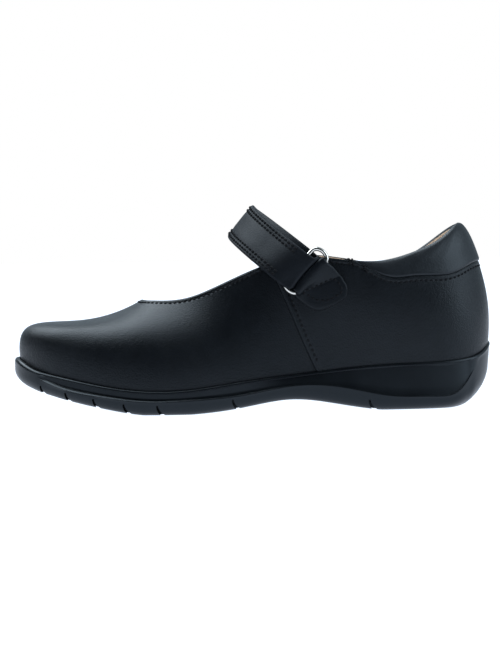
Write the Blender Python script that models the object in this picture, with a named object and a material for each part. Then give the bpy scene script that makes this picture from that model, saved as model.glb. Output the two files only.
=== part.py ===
# School shoe for a left foot: a girl's bar shoe with a padded collar, a strap that folds back
# through a metal ring, and a moulded unit sole.
# The tables below are in millimetres and the scene is in metres. +Z is up, the toe points
# to -X and the outer side of the foot to -Y. "Station" is the distance back from the toe tip.

import math

import bmesh
import bpy
import numpy as np
from mathutils import Vector
from mathutils.bvhtree import BVHTree

OBJECT_NAME = "school_shoe"
MM = 0.001
TURN = 2.0 * math.pi

# Driving dimensions
LENGTH = 206.0
WALL = 1.8
LAP = 0.7
FIT_GAP = 0.3
RIM_GAP = 0.35
SEAM_STATION = 131.0
COLLAR_START = 161.4
AROUND = 104
WALL_ROWS = 11

# Sole by station: outline on the outer and inner side, height of the tread face, size of the
# rounded lower edge and how far it stands in, then the heights of the side step, the lip and the
# bed inside the lip, how far the lip leans in, the depth of the side panel and the inset of the
# upper's foot.
SOLE_COLUMNS = ("station", "outer", "inner", "tread", "round_in", "round_up", "wall_in",
                "step", "lip", "bed", "lip_in", "panel", "seat")
SOLE_ROWS = (
    (0, 4.5, 4.5, 12.9, 5.0, 5.0, 0.0, 21.4, 22.8, 17.5, 1.4, 0.0, 2.9),
    (3, -7.5, 16.8, 11.3, 4.6, 4.6, 0.0, 20.2, 21.6, 16.9, 1.2, 0.0, 2.9),
    (10, -16.8, 26.0, 9.0, 4.2, 4.4, 0.0, 16.8, 18.4, 14.8, 0.9, 0.3, 2.8),
    (22, -26.0, 33.0, 6.0, 4.2, 4.6, 0.0, 11.9, 15.8, 12.0, 0.8, 1.5, 2.7),
    (40, -34.0, 36.9, 2.5, 4.2, 4.8, 0.0, 8.5, 12.4, 9.6, 0.9, 1.7, 2.6),
    (60, -37.8, 37.8, -0.2, 4.2, 4.8, 0.0, 6.4, 10.2, 8.4, 0.9, 1.7, 2.6),
    (78, -37.4, 35.5, 0.0, 4.2, 4.8, 0.0, 6.8, 10.7, 9.0, 0.9, 1.7, 2.6),
    (98, -33.9, 29.8, 2.0, 4.2, 4.8, 0.0, 8.3, 13.3, 11.6, 0.9, 1.7, 2.6),
    (120, -29.9, 25.2, 5.1, 4.2, 4.8, 0.0, 11.5, 15.8, 14.2, 0.9, 1.7, 2.6),
    (140, -27.6, 24.6, 2.7, 4.2, 4.8, 0.0, 10.7, 18.0, 16.3, 0.9, 1.7, 2.6),
    (160, -26.8, 26.4, -0.2, 4.4, 4.8, 0.0, 6.7, 19.6, 17.7, 0.9, 1.7, 2.6),
    (178, -25.4, 26.4, -0.4, 5.0, 4.8, 0.1, 5.9, 20.1, 18.3, 0.9, 1.7, 2.6),
    (191, -22.0, 23.0, -0.3, 7.5, 5.6, 0.3, 8.2, 20.9, 18.5, 0.7, 1.5, 2.5),
    (200, -15.1, 16.1, -0.1, 13.0, 12.4, 0.6, 21.0, 22.6, 18.6, 0.4, 0.2, 2.4),
    (206, 0.5, 0.5, -0.1, 18.2, 18.6, 0.8, 26.0, 27.4, 18.7, 0.4, 0.0, 2.3),
)

# Upper by the station of its foot: where the same wall line meets the topline, how much lower the
# inner side is there, the two handles of its curve (rise and flare at the foot, reach and fall at
# the top), its lean, and how far the quarter's edge drops below the topline for the collar.
UPPER_COLUMNS = ("station", "top_station", "top_axis", "top_half", "top_height", "inner_lower",
                 "rise", "flare", "reach", "fall", "lean", "collar")
UPPER_ROWS = (
    (0, 56.0, 3.0, 0.0, 47.3, 0.0, 34.5, 5.8, 40.6, 30.5, 0.00, -1.0),
    (10, 56.6, 3.0, 7.0, 47.3, 0.5, 31.8, 5.0, 36.2, 31.0, 0.00, -1.0),
    (25, 58.5, 2.9, 11.2, 47.4, 1.0, 27.2, 3.8, 28.0, 32.3, 0.00, -1.0),
    (45, 62.8, 2.7, 15.0, 47.4, 1.5, 24.0, 2.6, 20.8, 34.6, 0.00, -1.0),
    (65, 69.4, 2.4, 18.3, 47.6, 1.8, 22.0, 2.0, 15.5, 41.0, 0.00, -1.0),
    (90, 80.5, 2.0, 21.6, 50.1, 1.9, 20.0, 1.8, 14.0, 54.0, -0.10, -1.0),
    (115, 97.0, 1.5, 24.4, 57.3, 1.7, 18.0, 1.6, 15.0, 68.0, -0.40, -1.0),
    (131, 110.2, 1.1, 25.7, 62.5, 1.2, 17.0, 1.6, 17.0, 76.0, -0.50, -1.0),
    (141, 121.0, 0.9, 26.1, 65.1, 0.6, 17.0, 1.7, 17.0, 79.0, -0.46, -1.0),
    (161, 146.5, 0.6, 25.4, 63.4, 0.4, 17.0, 2.1, 18.0, 80.0, -0.30, 0.2),
    (168, 156.0, 0.5, 24.6, 63.3, 1.5, 17.5, 2.3, 18.5, 80.0, -0.24, 6.0),
    (178, 168.0, 0.5, 22.8, 65.6, 2.9, 18.0, 2.4, 20.0, 80.0, -0.16, 9.3),
    (191, 183.0, 0.5, 17.2, 71.8, 0.4, 20.0, 2.5, 25.0, 75.0, -0.05, 15.1),
    (200, 190.8, 0.5, 9.6, 77.5, 0.4, 21.0, 2.7, 29.0, 71.2, 0.00, 17.3),
    (206, 194.4, 0.5, 0.0, 79.0, 0.0, 22.0, 2.9, 30.0, 68.4, 0.00, 17.2),
)

# Tread: stations of the slanted grooves, their width, slant and depth
GROOVE_STATIONS = (15.3, 26.4, 38.5, 51.4, 65.5, 97.0, 154.5)
GROOVE_WIDTH = 1.4
GROOVE_SLANT = math.radians(38.0)
GROOVE_DEPTH = 3.2

# Insole
INSOLE_THICKNESS = 2.4
INSOLE_INSET = 5.4

# Collar padding: how far it stands out and in from the upper's surface
COLLAR_GAP = 0.4
PAD_OUT = 1.1
PAD_IN = 4.2
PAD_ROWS = 5

# Ring: its centre in side view, tilt of the bars, wire and size along and across the bars
RING_STATION = 126.0
RING_HEIGHT = 58.95
RING_TILT = math.radians(47.0)
RING_WIRE = 1.8
RING_HALF_BAR = 7.95
RING_END = 2.9
RING_HALF_GAP = 3.8
RING_LIFT = 3.8

# Strap: thickness, widths, the arch over the instep and its twist, the fold at the ring, its place along the
# bar, how far the outer layer slips down from the under layer, and the sewn end on the inner side
STRAP_THICKNESS = 1.8
STRAP_HALF_AT_RING = 8.6
STRAP_HALF_AT_CREST = 8.75
STRAP_RISE = 27.9
STRAP_RISE_ANGLE = math.radians(140.6)
STRAP_AXIS_AT_CREST = math.radians(50.5)
STRAP_OUTER = (14.0, 9.5)
STRAP_INNER = (18.0, 12.5)
STRAP_TWIST = 0.2
STRAP_FOLD = 2.2
STRAP_FOLD_LONG = 3.05
STRAP_BAR = -0.3
STRAP_SLIP = 1.8
STRAP_SLIP_AT_CREST = 0.4
STRAP_LAYER = 2.4
STRAP_TIP_ANGLE = math.radians(146.0)
STRAP_ROOT = 15.0
WALL_CLEAR = 0.4

# Tab that holds the ring: thickness, fold round the ring's bar, and its outline by the distance back
# from the ring's centre: its lower and its upper edge along the bars
TAB_THICKNESS = 1.3
TAB_LOOP = 2.0
TAB_LOOP_LONG = 2.75
TAB_COLUMNS = ("back", "lower", "upper")
TAB_ROWS = (
    (0.0, -9.2, 9.0),
    (3.3, -9.5, 8.7),
    (6.7, -10.3, 8.2),
    (10.0, -10.9, 8.1),
    (12.5, -10.5, 8.0),
    (14.5, -9.1, 7.6),
    (16.4, -6.7, 7.1),
    (17.8, -3.9, 6.4),
    (18.9, -0.4, 5.3),
    (19.5, 2.0, 3.6),
)
TAB_END = TAB_ROWS[-1][0]


def angle_of(station):
    """Angle round the shoe of a station on the outer side: 0 at the toe, half a turn at the heel."""
    return math.acos(1.0 - 2.0 * station / LENGTH)


def closed_spline(knots, values):
    """Smooth periodic curve through the values at the knot angles."""
    knots = np.asarray(knots, float)
    values = np.asarray(values, float)
    count = len(knots)
    gap = np.diff(np.append(knots, knots[0] + TURN))
    slope = (np.roll(values, -1) - values) / gap
    system = np.zeros((count, count))
    for i in range(count):
        system[i, i - 1] = gap[i - 1]
        system[i, i] = 2.0 * (gap[i - 1] + gap[i])
        system[i, (i + 1) % count] = gap[i]
    bend = np.linalg.solve(system, 6.0 * (slope - np.roll(slope, 1)))

    def curve(angle):
        turned = np.mod(angle, TURN)
        i = np.searchsorted(knots, turned, side="right") - 1
        j = (i + 1) % count
        far = (turned - knots[i]) / gap[i]
        near = 1.0 - far
        bow = (near ** 3 - near) * bend[i] + (far ** 3 - far) * bend[j]
        return near * values[i] + far * values[j] + bow * gap[i] ** 2 / 6.0

    return curve


def loop_columns(columns, rows):
    """One closed spline round the shoe for each column, the same on both sides."""
    angles = [angle_of(row[0]) for row in rows]
    knots = angles + [TURN - angle for angle in angles[-2:0:-1]]
    splines = {}
    for index, name in enumerate(columns):
        outer = [row[index] for row in rows]
        splines[name] = closed_spline(knots, outer + outer[-2:0:-1])
    return knots, splines


def two_sided(knots, outer, inner):
    """Closed spline with its own values on the outer and the inner side."""
    return closed_spline(knots, list(outer) + list(inner)[-2:0:-1])


SOLE_KNOTS, SOLE = loop_columns(SOLE_COLUMNS, SOLE_ROWS)
SOLE["y"] = two_sided(SOLE_KNOTS, [row[1] for row in SOLE_ROWS], [row[2] for row in SOLE_ROWS])
UPPER_KNOTS, UPPER = loop_columns(UPPER_COLUMNS, UPPER_ROWS)
UPPER["top_y"] = two_sided(
    UPPER_KNOTS,
    [row[2] - row[3] for row in UPPER_ROWS],
    [row[2] + row[3] for row in UPPER_ROWS],
)
UPPER["top_z"] = two_sided(
    UPPER_KNOTS,
    [row[4] for row in UPPER_ROWS],
    [row[4] - row[5] for row in UPPER_ROWS],
)


def plan_normal(angle):
    """Outward normal of the sole's outline, seen from above."""
    small = 1e-4
    along_x = 0.5 * LENGTH * np.sin(angle)
    along_y = (SOLE["y"](angle + small) - SOLE["y"](angle - small)) / (2.0 * small)
    size = np.hypot(along_x, along_y)
    return np.stack([along_y / size, -along_x / size], axis=-1)


def outline(angle, inset, height):
    """Points of the sole's outline, moved in by the inset, at the given height."""
    out = plan_normal(angle)
    x = -0.5 * LENGTH * np.cos(angle) - out[..., 0] * inset
    y = SOLE["y"](angle) - out[..., 1] * inset
    return np.stack([x, y, height + 0.0 * x], axis=-1)


def wall_curve(angle, v):
    """Point of the upper's master surface: v runs from 0 at the foot to 1 at the topline."""
    angle, v = np.broadcast_arrays(np.asarray(angle, float), np.asarray(v, float))
    out = plan_normal(angle)
    foot = outline(angle, SOLE["seat"](angle), SOLE["bed"](angle) + FIT_GAP)
    top = np.stack([UPPER["top_station"](angle) - 0.5 * LENGTH, UPPER["top_y"](angle),
                    UPPER["top_z"](angle)], axis=-1)
    lean = UPPER["lean"](angle)
    fall = np.radians(UPPER["fall"](angle))
    reach = UPPER["reach"](angle)
    rise = UPPER["rise"](angle)
    flare = UPPER["flare"](angle)
    drop = -reach * np.sin(fall)
    low = foot + np.stack([out[..., 0] * flare + lean * rise, out[..., 1] * flare, rise], axis=-1)
    spread = reach * np.cos(fall)
    high = top + np.stack([out[..., 0] * spread + lean * drop, out[..., 1] * spread, drop], axis=-1)
    a = (1.0 - v)[..., None]
    b = v[..., None]
    return a ** 3 * foot + 3 * a * a * b * low + 3 * a * b * b * high + b ** 3 * top


def wall_normal(angle, v):
    """Outward normal of the master surface."""
    small = 1e-3
    along = wall_curve(angle + small, v) - wall_curve(angle - small, v)
    up = wall_curve(angle, np.minimum(v + small, 1.0)) - wall_curve(angle, np.maximum(v - small, 0.0))
    normal = np.cross(along, up)
    return normal / np.linalg.norm(normal, axis=-1, keepdims=True)


def v_at_height(angles, heights):
    """Where each wall line first reaches a height, counted from its top end downwards."""
    samples = np.linspace(0.0, 1.0, 241)
    found = []
    for angle, height in zip(angles, heights):
        z = wall_curve(angle, samples)[:, 2]
        below = np.nonzero(z < height)[0]
        i = below[-1] if len(below) else 0
        j = min(i + 1, len(samples) - 1)
        part = (height - z[i]) / (z[j] - z[i]) if z[j] > z[i] else 0.0
        found.append(samples[i] + min(max(part, 0.0), 1.0) * (samples[j] - samples[i]))
    return np.array(found)


def collar_drop(angle):
    """How far the quarter's cut edge lies below the topline, where the collar takes over."""
    return np.maximum(UPPER["collar"](angle), 0.0) * (SEAM_ANGLE < folded(angle))


def folded(angle):
    """The angle measured on the outer side, whichever side it is on."""
    turned = np.mod(angle, TURN)
    return np.minimum(turned, TURN - turned)


SEAM_ANGLE = angle_of(SEAM_STATION)
SEAM_WIDTH = math.radians(0.12)


def lap_lift(angle):
    """The quarter lies on top of the vamp: a step in the wall behind the seam."""
    return LAP * np.clip((folded(angle) - SEAM_ANGLE) / SEAM_WIDTH + 0.5, 0.0, 1.0)


def wall_point(angle, v, lift=0.0):
    """Point of the upper's outer face, lifted off it by a distance."""
    away = lap_lift(angle) + lift
    return wall_curve(angle, v) + wall_normal(angle, v) * np.asarray(away)[..., None]


def column_angles():
    """Angles of the mesh columns: even ones, and a close pair at each side seam."""
    even = np.arange(AROUND) * TURN / AROUND
    clear = math.radians(1.3)
    keep = [angle for angle in even if abs(folded(angle) - SEAM_ANGLE) > clear]
    pair = [SEAM_ANGLE - 0.5 * SEAM_WIDTH, SEAM_ANGLE + 0.5 * SEAM_WIDTH]
    return np.array(sorted(keep + pair + [TURN - angle for angle in pair]))


def smooth_step(low, high, value):
    """0 below low, 1 above high, and an even ramp with soft ends between."""
    part = np.clip((value - low) / (high - low), 0.0, 1.0)
    return part * part * (3.0 - 2.0 * part)


# Scene and mesh helpers
for leftover in list(bpy.data.objects):
    bpy.data.objects.remove(leftover, do_unlink=True)
PARTS = bpy.data.collections.new(OBJECT_NAME)
CUTTERS = bpy.data.collections.new("cutters")
bpy.context.scene.collection.children.link(PARTS)
bpy.context.scene.collection.children.link(CUTTERS)


def make_material(name, colour, roughness, metallic=0.0):
    material = bpy.data.materials.new(name)
    material.use_nodes = True
    shader = material.node_tree.nodes["Principled BSDF"]
    shader.inputs["Base Color"].default_value = (*colour, 1.0)
    shader.inputs["Roughness"].default_value = roughness
    shader.inputs["Metallic"].default_value = metallic
    return material


def add_mesh(name, points, faces, material=None, collection=PARTS):
    """Object from points in millimetres, with its faces turned outwards."""
    mesh = bpy.data.meshes.new(name)
    mesh.from_pydata([tuple(point * MM) for point in np.asarray(points)], [], faces)
    work = bmesh.new()
    work.from_mesh(mesh)
    bmesh.ops.recalc_face_normals(work, faces=work.faces)
    work.to_mesh(mesh)
    work.free()
    item = bpy.data.objects.new(name, mesh)
    collection.objects.link(item)
    if material:
        mesh.materials.append(material)
    return item


def ring_faces(levels, count):
    """Quads between closed rings of points, one ring above the other."""
    faces = []
    for level in range(levels - 1):
        low = level * count
        high = low + count
        for i in range(count):
            j = (i + 1) % count
            faces.append((low + i, low + j, high + j, high + i))
    return faces


def cap_faces(start, count):
    """Strips across a closed ring whose points lie in pairs on both sides of the toe."""
    faces = [(start, start + 1, start + count - 1)]
    for i in range(1, (count - 1) // 2):
        faces.append((start + i, start + i + 1, start + count - i - 1, start + count - i))
    middle = count // 2
    if count % 2 == 0:
        faces.append((start + middle - 1, start + middle, start + middle + 1))
    return faces


def stacked(name, rings, material):
    """Closed solid from rings: a cap on the first and on the last, and walls between."""
    count = len(rings[0])
    faces = ring_faces(len(rings), count)
    faces += cap_faces(0, count) + cap_faces((len(rings) - 1) * count, count)
    return add_mesh(name, np.concatenate(rings), faces, material)


def shell_from_grid(front, back, closed):
    """Points and faces of a closed sheet between two grids of the same rows and columns."""
    rows, columns = front.shape[:2]
    points = np.concatenate([front.reshape(-1, 3), back.reshape(-1, 3)])
    behind = rows * columns
    faces = []
    spans = columns if closed else columns - 1
    for i in range(rows - 1):
        for j in range(spans):
            k = (j + 1) % columns
            quad = (i * columns + j, i * columns + k, (i + 1) * columns + k, (i + 1) * columns + j)
            faces.append(quad)
            faces.append(tuple(behind + corner for corner in reversed(quad)))
    for j in range(spans):
        k = (j + 1) % columns
        last = (rows - 1) * columns
        faces.append((j, behind + j, behind + k, k))
        faces.append((last + j, last + k, behind + last + k, behind + last + j))
    if not closed:
        for i in range(rows - 1):
            for edge in (0, columns - 1):
                near = i * columns + edge
                far = near + columns
                faces.append((near, far, behind + far, behind + near))
    return points, faces


def grid_normals(grid):
    """Unit normals of an open grid, from its neighbouring points."""
    along = np.gradient(grid, axis=0)
    across = np.gradient(grid, axis=1)
    normal = np.cross(along, across)
    return normal / np.linalg.norm(normal, axis=-1, keepdims=True)


def ribbon(name, grid, thickness, material):
    """Closed band with a grid of points in the middle of its thickness."""
    half = grid_normals(grid) * 0.5 * thickness
    points, faces = shell_from_grid(grid + half, grid - half, closed=False)
    return add_mesh(name, points, faces, material)


ANGLES = column_angles()

LEATHER = make_material("upper_leather", (0.012, 0.013, 0.016), 0.38)
COLLAR_LEATHER = make_material("collar_leather", (0.013, 0.014, 0.017), 0.45)
STRAP_LEATHER = make_material("strap_leather", (0.012, 0.013, 0.016), 0.36)
TAB_LEATHER = make_material("tab_leather", (0.012, 0.013, 0.016), 0.38)
RUBBER = make_material("sole_rubber", (0.014, 0.015, 0.018), 0.46)
LINING = make_material("insole_lining", (0.52, 0.38, 0.26), 0.7)
NICKEL = make_material("ring_nickel", (0.62, 0.62, 0.60), 0.22, 1.0)


# Upper: the vamp and the quarter as one hollow wall with a step at the side seams
v_edge = v_at_height(ANGLES, UPPER["top_z"](ANGLES) - collar_drop(ANGLES) - 1e-6)
v_edge = np.where(collar_drop(ANGLES) > 0.0, v_edge, 1.0)
v_grid = np.linspace(0.0, 1.0, WALL_ROWS)[:, None] * v_edge[None, :]
angle_grid = np.broadcast_to(ANGLES[None, :], v_grid.shape)
outer_face = wall_point(angle_grid, v_grid)
inner_face = wall_curve(angle_grid, v_grid) - wall_normal(angle_grid, v_grid) * WALL
inner_face[0, :, 2] = outer_face[0, :, 2]
upper_points, upper_faces = shell_from_grid(outer_face, inner_face, closed=True)
add_mesh("upper", upper_points, upper_faces, LEATHER)

# Surface to lay the strap and the tab on
count = len(ANGLES)
SKIN = BVHTree.FromPolygons(
    [Vector(point) for point in outer_face.reshape(-1, 3)], ring_faces(WALL_ROWS, count))


def on_wall(x, z, side):
    """Point and outward normal of the upper's outer face in side view, or None beside it."""
    hit, normal, _, _ = SKIN.ray_cast(Vector((x, side * 200.0, z)), Vector((0.0, -side, 0.0)))
    if hit is None:
        return None
    if normal.y * side < 0.0:
        normal = -normal
    return np.array(hit), np.array(normal)


# Outsole: rings from the tread face up the side, over the lip and down to the bed
tread = np.maximum(SOLE["tread"](ANGLES), 0.0)
round_in = SOLE["round_in"](ANGLES)
round_up = SOLE["round_up"](ANGLES)
wall_in = np.maximum(SOLE["wall_in"](ANGLES), 0.0)
step = SOLE["step"](ANGLES)
lip = SOLE["lip"](ANGLES)
bed = SOLE["bed"](ANGLES)
lip_in = SOLE["lip_in"](ANGLES)
panel = np.maximum(SOLE["panel"](ANGLES), 0.0)
band = lip - step
bead = np.minimum(1.1, 0.35 * band)
sole_rings = []
for turn in (0.0, 30.0, 60.0, 90.0):
    inset = wall_in + round_in * (1.0 - math.sin(math.radians(turn)))
    height = tread + round_up * (1.0 - math.cos(math.radians(turn)))
    sole_rings.append(outline(ANGLES, inset, height))
sole_rings.append(outline(ANGLES, 0.3 * wall_in, step))
sole_rings.append(outline(ANGLES, panel, step + np.minimum(0.7, 0.2 * band)))
sole_rings.append(outline(ANGLES, 0.85 * panel + 0.3 * lip_in, lip - bead - np.minimum(0.4, 0.1 * band)))
sole_rings.append(outline(ANGLES, 0.7 * lip_in, lip - bead))
sole_rings.append(outline(ANGLES, lip_in, lip - 0.25))
for part in (1.0, 0.5, 0.0):
    height = bed + part * (lip - bed)
    at = v_at_height(ANGLES, np.maximum(height, bed + FIT_GAP))
    ring = wall_point(ANGLES, at)
    ring[:, :2] += plan_normal(ANGLES) * RIM_GAP
    ring[:, 2] = height
    sole_rings.append(ring)
outsole = stacked("outsole", sole_rings, RUBBER)


def groove_boxes():
    """Slanted slots across the tread, all in one cutter."""
    points = []
    faces = []
    for station in GROOVE_STATIONS:
        at = float(np.maximum(SOLE["tread"](angle_of(station)), 0.0))
        along = np.array([-math.sin(GROOVE_SLANT), 0.0, math.cos(GROOVE_SLANT)])
        across = np.array([math.cos(GROOVE_SLANT), 0.0, math.sin(GROOVE_SLANT)])
        base = np.array([station - 0.5 * LENGTH, 0.0, at])
        start = len(points)
        for side in (-60.0, 60.0):
            for depth, half in ((-9.0, -0.5), (-9.0, 0.5), (GROOVE_DEPTH, 0.5), (GROOVE_DEPTH, -0.5)):
                points.append(base + along * depth + across * half * GROOVE_WIDTH
                              + np.array([0.0, side, 0.0]))
        low = (start, start + 1, start + 2, start + 3)
        high = tuple(corner + 4 for corner in low)
        faces += [low, tuple(reversed(high))]
        for i in range(4):
            j = (i + 1) % 4
            faces.append((low[i], high[i], high[j], low[j]))
    cutter = add_mesh("tread_grooves", points, faces, collection=CUTTERS)
    cutter.display_type = "WIRE"
    cutter.hide_render = True
    return cutter


cut = outsole.modifiers.new("tread", "BOOLEAN")
cut.operation = "DIFFERENCE"
cut.solver = "EXACT"
cut.object = groove_boxes()

# Insole: a slab on the bed, inside the upper's wall
under = outline(ANGLES, INSOLE_INSET + 0.0 * bed, bed + FIT_GAP)
over = outline(ANGLES, INSOLE_INSET + 0.0 * bed, bed + FIT_GAP + INSOLE_THICKNESS)
stacked("insole", [under, over], LINING)

# Collar: a padded roll on the quarter's cut edge, made from the same wall lines
collar_angles = ANGLES[folded(ANGLES) > angle_of(COLLAR_START)]
collar_top = UPPER["top_z"](collar_angles)
collar_foot = collar_top - collar_drop(collar_angles) + COLLAR_GAP
v_foot = v_at_height(collar_angles, collar_foot)
fullness = np.clip((collar_top - collar_foot) / 7.0, 0.1, 1.0)
ups = np.linspace(0.0, 1.0, PAD_ROWS)
pad_profile = [(0.97 * up, 0.2 + PAD_OUT * math.sin(math.pi * (0.1 + 0.84 * up))) for up in ups]
pad_profile.append((1.0, -1.3))
for up in ups[::-1]:
    pad_profile.append((0.95 * up, -1.3 - (PAD_IN - 1.3) * math.sin(math.pi * (0.1 + 0.8 * up))))
collar_rows = []
for up, bulge in pad_profile:
    at = v_foot + (1.0 - v_foot) * up
    pad_normal = wall_normal(collar_angles, at)
    collar_rows.append(wall_curve(collar_angles, at) + pad_normal * (bulge * fullness)[:, None])
sections = np.stack(collar_rows, axis=1)
size = sections.shape[1]
collar_faces = ring_faces(len(sections), size)
collar_faces.append(tuple(range(size)))
collar_faces.append(tuple((len(sections) - 1) * size + i for i in range(size)))
add_mesh("collar", sections.reshape(-1, 3), collar_faces, COLLAR_LEATHER)

# Frame of the ring: on the outer side of the quarter, bars across the strap
ring_base, ring_normal = on_wall(RING_STATION - 0.5 * LENGTH, RING_HEIGHT, -1.0)
RING_BAR = np.array([math.cos(RING_TILT), 0.0, math.sin(RING_TILT)])
RING_BAR -= ring_normal * RING_BAR.dot(ring_normal)
RING_BAR /= np.linalg.norm(RING_BAR)
RING_BACK = np.cross(ring_normal, RING_BAR)
RING_BACK *= math.copysign(1.0, RING_BACK[0])


def ring_frame(back, bar, lift):
    """Point beside the ring: towards the heel, along the bars and off the quarter."""
    return ring_base + RING_BACK * back + RING_BAR * bar + ring_normal * lift


def ring_loop(count):
    """Middle line of the ring's wire: two bars with rounded ends, in ring coordinates."""
    line = []
    for i in range(count):
        turn = TURN * i / count
        bar = RING_END * math.sin(turn) + math.copysign(RING_HALF_BAR, math.sin(turn + 1e-9))
        back = RING_HALF_GAP * math.cos(turn)
        line.append((back, bar))
    return line


WIRE_POINTS = 40
WIRE_SIDES = 10
wire_line = np.array([ring_frame(back, bar, RING_LIFT) for back, bar in ring_loop(WIRE_POINTS)])
wire_along = np.roll(wire_line, -1, axis=0) - np.roll(wire_line, 1, axis=0)
wire_along /= np.linalg.norm(wire_along, axis=1, keepdims=True)
wire_out = np.cross(wire_along, ring_normal)
wire_rings = []
for side in range(WIRE_SIDES):
    turn = TURN * side / WIRE_SIDES
    wire_rings.append(wire_line + 0.5 * RING_WIRE * (math.cos(turn) * wire_out
                                                     + math.sin(turn) * ring_normal))
wire_rings.append(wire_rings[0])
wire_points = np.concatenate(wire_rings[:-1])
wire_faces = []
for face in ring_faces(WIRE_SIDES + 1, WIRE_POINTS):
    wire_faces.append(tuple(corner % len(wire_points) for corner in face))
add_mesh("strap_ring", wire_points, wire_faces, NICKEL)

# Tab: a strip folded round the ring's rear bar, both layers sewn to the quarter
TAB_NEAR = RING_HALF_GAP
tab_low = 0.3 + 0.5 * TAB_THICKNESS
tab_high = tab_low + TAB_THICKNESS + FIT_GAP
tab_path = [(back, tab_low) for back in (TAB_END, 18.9, 17.8, 16.4, 14.5, 12.5, 11.0, 9.0)]
tab_path.append((6.2, 0.5 * (tab_low + RING_LIFT - TAB_LOOP)))
for turn in np.linspace(-90.0, -270.0, 9):
    reach_back = TAB_NEAR + TAB_LOOP_LONG * math.cos(math.radians(turn))
    tab_path.append((reach_back, RING_LIFT + TAB_LOOP * math.sin(math.radians(turn))))
tab_path.append((6.6, 4.6))
tab_path += [(back, tab_high) for back in (10.4, 12.5, 14.5, 16.4, 17.8, 18.9, TAB_END)]
tab_rows = []
tab_edges = dict(zip(TAB_COLUMNS, np.array(TAB_ROWS).T))
for back, lift in tab_path:
    lower = np.interp(back, tab_edges["back"], tab_edges["lower"])
    upper = np.interp(back, tab_edges["back"], tab_edges["upper"])
    row = []
    for across in np.linspace(lower, upper, 7):
        flat = ring_frame(back, across, lift)
        surface = on_wall(flat[0], flat[2], -1.0)
        laid = smooth_step(5.5, 9.5, back)
        if surface is None or laid == 0.0:
            row.append(flat)
        else:
            row.append((1.0 - laid) * flat + laid * (surface[0] + surface[1] * lift))
    tab_rows.append(row)
ribbon("ring_tab", np.array(tab_rows), TAB_THICKNESS, TAB_LEATHER)

# Strap: sewn to the inner side, over the instep, round the ring's front bar and back over itself
front_bar = ring_frame(-RING_HALF_GAP, 0.0, RING_LIFT)
strap_start = ring_frame(-RING_HALF_GAP, STRAP_BAR, RING_LIFT - STRAP_FOLD)
strap_up = np.array([math.cos(STRAP_RISE_ANGLE), 0.0, math.sin(STRAP_RISE_ANGLE)])
crest_axis = np.array([math.cos(STRAP_AXIS_AT_CREST), 0.0, math.sin(STRAP_AXIS_AT_CREST)])
inner_base, inner_normal = on_wall(strap_start[0], strap_start[2], 1.0)
inner_axis = RING_BAR * np.array([1.0, -1.0, 1.0])
STRAP_LIFT = WALL_CLEAR + 0.5 * STRAP_THICKNESS
inner_y = inner_base[1] + STRAP_LIFT
arch_half = 0.5 * (inner_y - strap_start[1])


def arch_point(turn, lift):
    """Middle of the strap over the instep: 0 at the ring, half a turn at the inner side."""
    far = min(turn, math.pi - turn) / (0.5 * math.pi)
    near = 1.0 - far
    ring_handle, crest_handle = STRAP_OUTER if turn < 0.5 * math.pi else STRAP_INNER
    inward = 3.0 * near * far * far * (arch_half - crest_handle) + far ** 3 * arch_half
    rise = (3.0 * near * near * far * ring_handle + 3.0 * near * far * far * STRAP_RISE
            + far ** 3 * STRAP_RISE)
    go_in = 2.0 * near * far * (arch_half - crest_handle) + far * far * crest_handle
    go_up = near * near * ring_handle + 2.0 * near * far * (STRAP_RISE - ring_handle)
    size = math.hypot(go_in, go_up)
    inward -= lift * go_up / size
    point = strap_start + strap_up * (rise + lift * go_in / size)
    point[1] = strap_start[1] + inward if turn < 0.5 * math.pi else inner_y - inward
    return point


def strap_axis(turn):
    """Direction across the strap: along the ring's bar, front edge out where it clears the topline."""
    share = math.sin(turn) ** 2
    end = RING_BAR if turn < 0.5 * math.pi else inner_axis
    axis = (1.0 - share) * end + share * crest_axis
    axis[1] += STRAP_TWIST * math.sin(2.0 * turn)
    return axis / np.linalg.norm(axis)


def strap_half(turn):
    """Half width of the strap: widest at the ring."""
    return STRAP_HALF_AT_CREST + (STRAP_HALF_AT_RING - STRAP_HALF_AT_CREST) * math.cos(turn) ** 2


def on_inner_side(x, z):
    """Middle of the strap's sewn end: on the quarter, or on its plane above the topline."""
    surface = on_wall(x, z, 1.0)
    if surface is None or surface[0][1] < 0.0:
        tilt = inner_normal[0] * (x - inner_base[0]) + inner_normal[2] * (z - inner_base[2])
        surface = (np.array([x, inner_base[1] - tilt / inner_normal[1], z]), inner_normal)
    return surface[0] + surface[1] * STRAP_LIFT


STRAP_ACROSS = np.linspace(-1.0, 1.0, 5)
strap_rows = []
for part in np.linspace(1.0, 0.12, 6):
    middle = arch_point(math.pi, 0.0) - strap_up * STRAP_ROOT * part
    half = STRAP_HALF_AT_RING * max(1.0 - (part ** 6), 0.12) ** 0.4
    row = []
    for across in STRAP_ACROSS:
        spot = middle + inner_axis * across * half
        row.append(on_inner_side(spot[0], spot[2]))
    strap_rows.append(row)
for turn in np.linspace(math.pi, 0.0, 25)[1:]:
    middle = arch_point(turn, 0.0)
    strap_rows.append([middle + strap_axis(turn) * across * strap_half(turn) for across in STRAP_ACROSS])
for bend in np.linspace(-90.0, 90.0, 8)[1:-1]:
    back = -RING_HALF_GAP + STRAP_FOLD_LONG * math.cos(math.radians(bend))
    lift = RING_LIFT + STRAP_FOLD * math.sin(math.radians(bend))
    slip = STRAP_BAR - (STRAP_SLIP + STRAP_SLIP_AT_CREST) * smooth_step(30.0, 90.0, bend)
    strap_rows.append([ring_frame(back, slip + across * STRAP_HALF_AT_RING, lift) for across in STRAP_ACROSS])
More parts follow.
